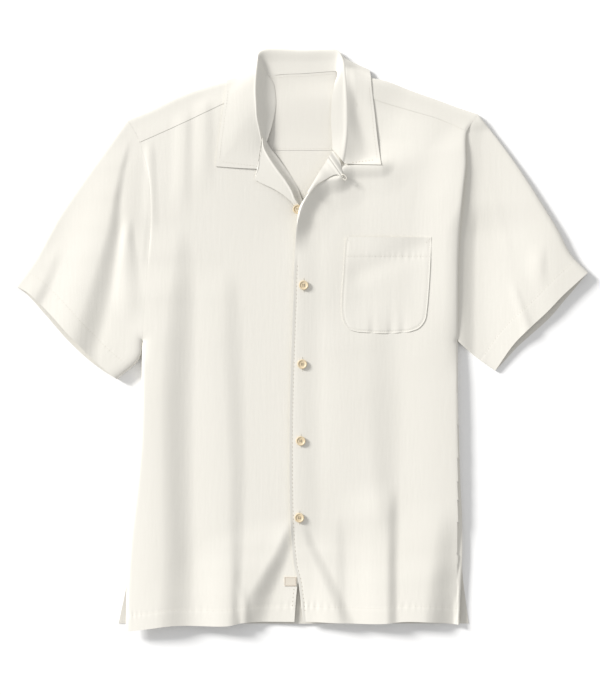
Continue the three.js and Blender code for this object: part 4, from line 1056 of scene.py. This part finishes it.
def seamStitches():
    frontEdge = between(offsetLine(pointsAlong(outline["centreLeft"], 400), cloth["pickInset"]), 107, -382)
    underEdge = between(offsetLine(pointsAlong(outline["centreRight"], 400), -cloth["pickInset"]), -318, -374)
    runs = {"picks": [(onSurface(frontEdge, withHem(upperFront, "Left")), "pick"),
                      (onSurface(underEdge, withHem(upper, "Right")), "pick")]}
    for side, height, start, end in (("Left", upperFront, 6, 218), ("Right", upper, -238, -16)):
        rows = pointsAlong(outline["hem" + side], 160) + [0, hems["body"]]
        rows = rows[(rows[:, 0] > start) & (rows[:, 0] < end)]
        runs["front" + side] = [(onSurface(rows, withHem(height, side)), "top")]
        line = offsetLine(pointsAlong(outline["cuff" + side], 160), -facings[side] * hems["cuffs"])[8:-8]
        runs["sleeve" + side] = [(onSurface(line, withCuff(side)), "top")]
    for x, y in button["places"][1:]:
        for way in (1, -1):
            hole = np.column_stack([np.full(9, x), y + way * np.linspace(6.4, 9.6, 9)])
            runs["frontLeft"].append((onSurface(hole, upperFront), "hole"))
    seams = {name: pointsAlong(outline[name], 160) for name in ("yokeSeamRight", "yokeSeamLeft", "neckBack")}
    runs["yoke"] = [
        (onSurface(offsetLine(seams["yokeSeamRight"][4:-2], -3.2), upper), "top"),
        (onSurface(offsetLine(seams["yokeSeamLeft"][4:-2], 3.4), upper), "fine"),
        (onSurface(seams["neckBack"][3:-3] - [0, 3.4], lower), "fine"),
        (onSurface([(-200 + k, cloth["backSeamY"] + 2.4) for k in range(0, 401, 4)], lower), "top"),
    ]
    return runs


def collarStitches():
    # each row runs from one section to another, at a share of the way to the leaf's edge
    place = turnedPlace(collarSections)
    last = len(collarSections) - 1
    runs = []
    for start, end, kind, depth in ((0, 1.85, "top", 0.965), (2.15, 5, "top", 0.97), (15, 17.85, "top", 0.965),
                                    (18.1, 19.6, "tick", 0.95)):
        t = np.linspace(start, end, 60)
        runs.append((place(t / last, np.full(60, depth)) + [0, 0, stitchLift], kind))
    return runs[:-1], runs[-1:]


def pocketStitches():
    lines = [(offsetLine(pocketEdge, pocket["stitchInset"]), "fine"),
             ([(x, pocket["topY"] - pocket["hem"]) for x in np.linspace(62.5, 175.5, 60)], "top")]
    for x, y, way in ((62.6, 142, 1), (179, 141.5, -1)):
        lines.append(([(x + way * k, y - 1.1 * k) for k in range(7)], "fine"))
    return [(onSurface(line, pocketHeight), kind) for line, kind in lines]


def buttonThreads():
    # two short rows over the middle of each button
    away = button["holeApart"] / 1.4
    return [(np.array([(x + dx * away, y - away * 1.1, z), (x + dx * away, y + away * 1.1, z)]), "sew")
            for x, y, z in buttonSpots for dx in (-1, 1)]


runs = seamStitches()
collarRuns, tickRuns = collarStitches()
sewing = {
    "frontLeft": sewn("front_left_stitches", runs["frontLeft"]),
    "frontRight": sewn("front_right_stitches", runs["frontRight"]),
    "yoke": sewn("yoke_stitches", runs["yoke"]),
    "sleeveRight": sewn("sleeve_right_stitches", runs["sleeveRight"]),
    "sleeveLeft": sewn("sleeve_left_stitches", runs["sleeveLeft"]),
    "collar": sewn("collar_stitches", collarRuns),
    "leaf": sewn("collar_ticks", tickRuns, tickMaterial),
    "pocket": sewn("pocket_stitches", pocketStitches()),
    "placket": sewn("placket_picks", runs["picks"], pickThreadWithPaintedShade),
}
# the button threads take the darkened pick thread, painted shade in the holes
sewn("button_thread", buttonThreads(), pickThreadWithPaintedShade)
print("stitches made")


# Thread loop and tab

loop = {
    "radius": 0.7, "sides": 10,
    # its course, as steps from the lapel's corner
    "course": [(-3, 1.5, -0.4), (0.5, 3.5, 0.9), (5, -0.5, 1.3), (4, -4.5, 0.9), (0.1, -1.9, 0.3)],
}
tab = {
    "corner": (-7, -331), "width": 17, "length": 13, "borderLift": 0.4,
    "border": [(0.06, 0.08), (0.94, 0.08), (0.94, 0.92), (0.06, 0.92)],
}


def makeLoop():
    corner = standingLapel(np.array([0.2]), np.array([1.0]))[0]
    spine = [corner + np.array(step) for step in loop["course"]]
    path = roundLine(spine, np.linspace(0, len(spine) - 1, 40))
    mesh = bmesh.new()
    ring = bmesh.ops.create_circle(mesh, segments=loop["sides"], radius=loop["radius"])["verts"]
    start = Vector(path[1] - path[0]).to_track_quat("Z", "Y")
    bmesh.ops.transform(mesh, matrix=Matrix.Translation(path[0]) @ start.to_matrix().to_4x4(), verts=ring)
    edges = list(mesh.edges)
    bmesh.ops.contextual_create(mesh, geom=edges)
    heading = Vector(path[1] - path[0]).normalized()
    for here, there in zip(path[:-1], path[1:]):
        made = bmesh.ops.extrude_edge_only(mesh, edges=edges)["geom"]
        moved = [g for g in made if isinstance(g, bmesh.types.BMVert)]
        edges = [g for g in made if isinstance(g, bmesh.types.BMEdge)]
        step = Vector(there - here)
        turn = heading.rotation_difference(step.normalized())
        heading = step.normalized()
        bmesh.ops.rotate(mesh, cent=Vector(here), matrix=turn.to_matrix(), verts=moved)
        bmesh.ops.translate(mesh, vec=step, verts=moved)
    bmesh.ops.contextual_create(mesh, geom=edges)
    return ride(finishMesh(mesh, "loop_thread", threadWithPaintedShade), "loop")


def tabPlace(u, v):
    x = tab["corner"][0] - tab["width"] * np.asarray(u, float)
    y = tab["corner"][1] - tab["length"] * np.asarray(v, float)
    return np.column_stack([x, y, upper(x, y) + cloth["thick"] + 0.15])


def makeTab():
    mesh = gridMesh(tab["width"], tab["length"], tabPlace)
    return ride(finishMesh(mesh, "hem_tab", tabMaterial, cloth["thick"], (0, 0, 1)), "label")


def tabStitches():
    corners = tab["border"]
    return [(tabPlace(np.linspace(u0, u1, 9), np.linspace(v0, v1, 9)) + [0, 0, tab["borderLift"]], "tab")
            for (u0, v0), (u1, v1) in zip(corners, corners[1:] + corners[:1])]


makeLoop()
tabPiece = makeTab()
tabBorder = sewn("tab_stitches", tabStitches(), tabThreadMaterial)
print("loop and tab made")
# Floor, light and camera

stage = {"floor": 8.0, "keyStrength": 4.2, "keyAngle": 14.0, "elevation": 23.6, "heading": -30.0, "ambient": 0.60}

floorMesh = bmesh.new()
bmesh.ops.create_grid(floorMesh, x_segments=4, y_segments=4, size=stage["floor"] / 2 / toMetres)
floor = finishMesh(floorMesh, "floor", floorMaterial, None, (0, 0, 1))

keyData = bpy.data.lights.new("key", "SUN")
keyData.energy = stage["keyStrength"]
keyData.angle = math.radians(stage["keyAngle"])
keyData.color = (1.0, 0.99, 0.975)
key = bpy.data.objects.new("key", keyData)
heading, elevation = math.radians(stage["heading"]), math.radians(stage["elevation"])
level = math.cos(elevation)
travel = Vector((math.cos(heading) * level, math.sin(heading) * level, -math.sin(elevation)))
key.rotation_euler = travel.to_track_quat("-Z", "Y").to_euler()
key.location = -4 * travel
bpy.context.scene.collection.objects.link(key)

world = bpy.data.worlds.new("studio")
world.use_nodes = True
world.node_tree.nodes["Background"].inputs["Color"].default_value = (1, 1, 1, 1)
world.node_tree.nodes["Background"].inputs["Strength"].default_value = stage["ambient"]
bpy.context.scene.world = world
bpy.context.scene.view_settings.view_transform = "Standard"

# The photo is 600 by 695 pixels at 1.4 mm each, with the shirt's centre at pixel (301.5, 339.8)
view = {"width": 600, "height": 695, "mmPerPixel": 1.4, "centre": (301.5, 339.8), "distance": 3.2, "sensor": 24.0}
cameraData = bpy.data.cameras.new("camera")
cameraData.sensor_fit = "VERTICAL"
cameraData.sensor_height = view["sensor"]
tall = view["height"] * view["mmPerPixel"] * toMetres
cameraData.lens = view["sensor"] * view["distance"] / tall
cameraData.clip_end = 50
camera = bpy.data.objects.new("camera", cameraData)
camera.location = (
    (view["width"] / 2 - view["centre"][0]) * view["mmPerPixel"] * toMetres,
    (view["centre"][1] - view["height"] / 2) * view["mmPerPixel"] * toMetres,
    view["distance"],
)
bpy.context.scene.collection.objects.link(camera)
bpy.context.scene.camera = camera
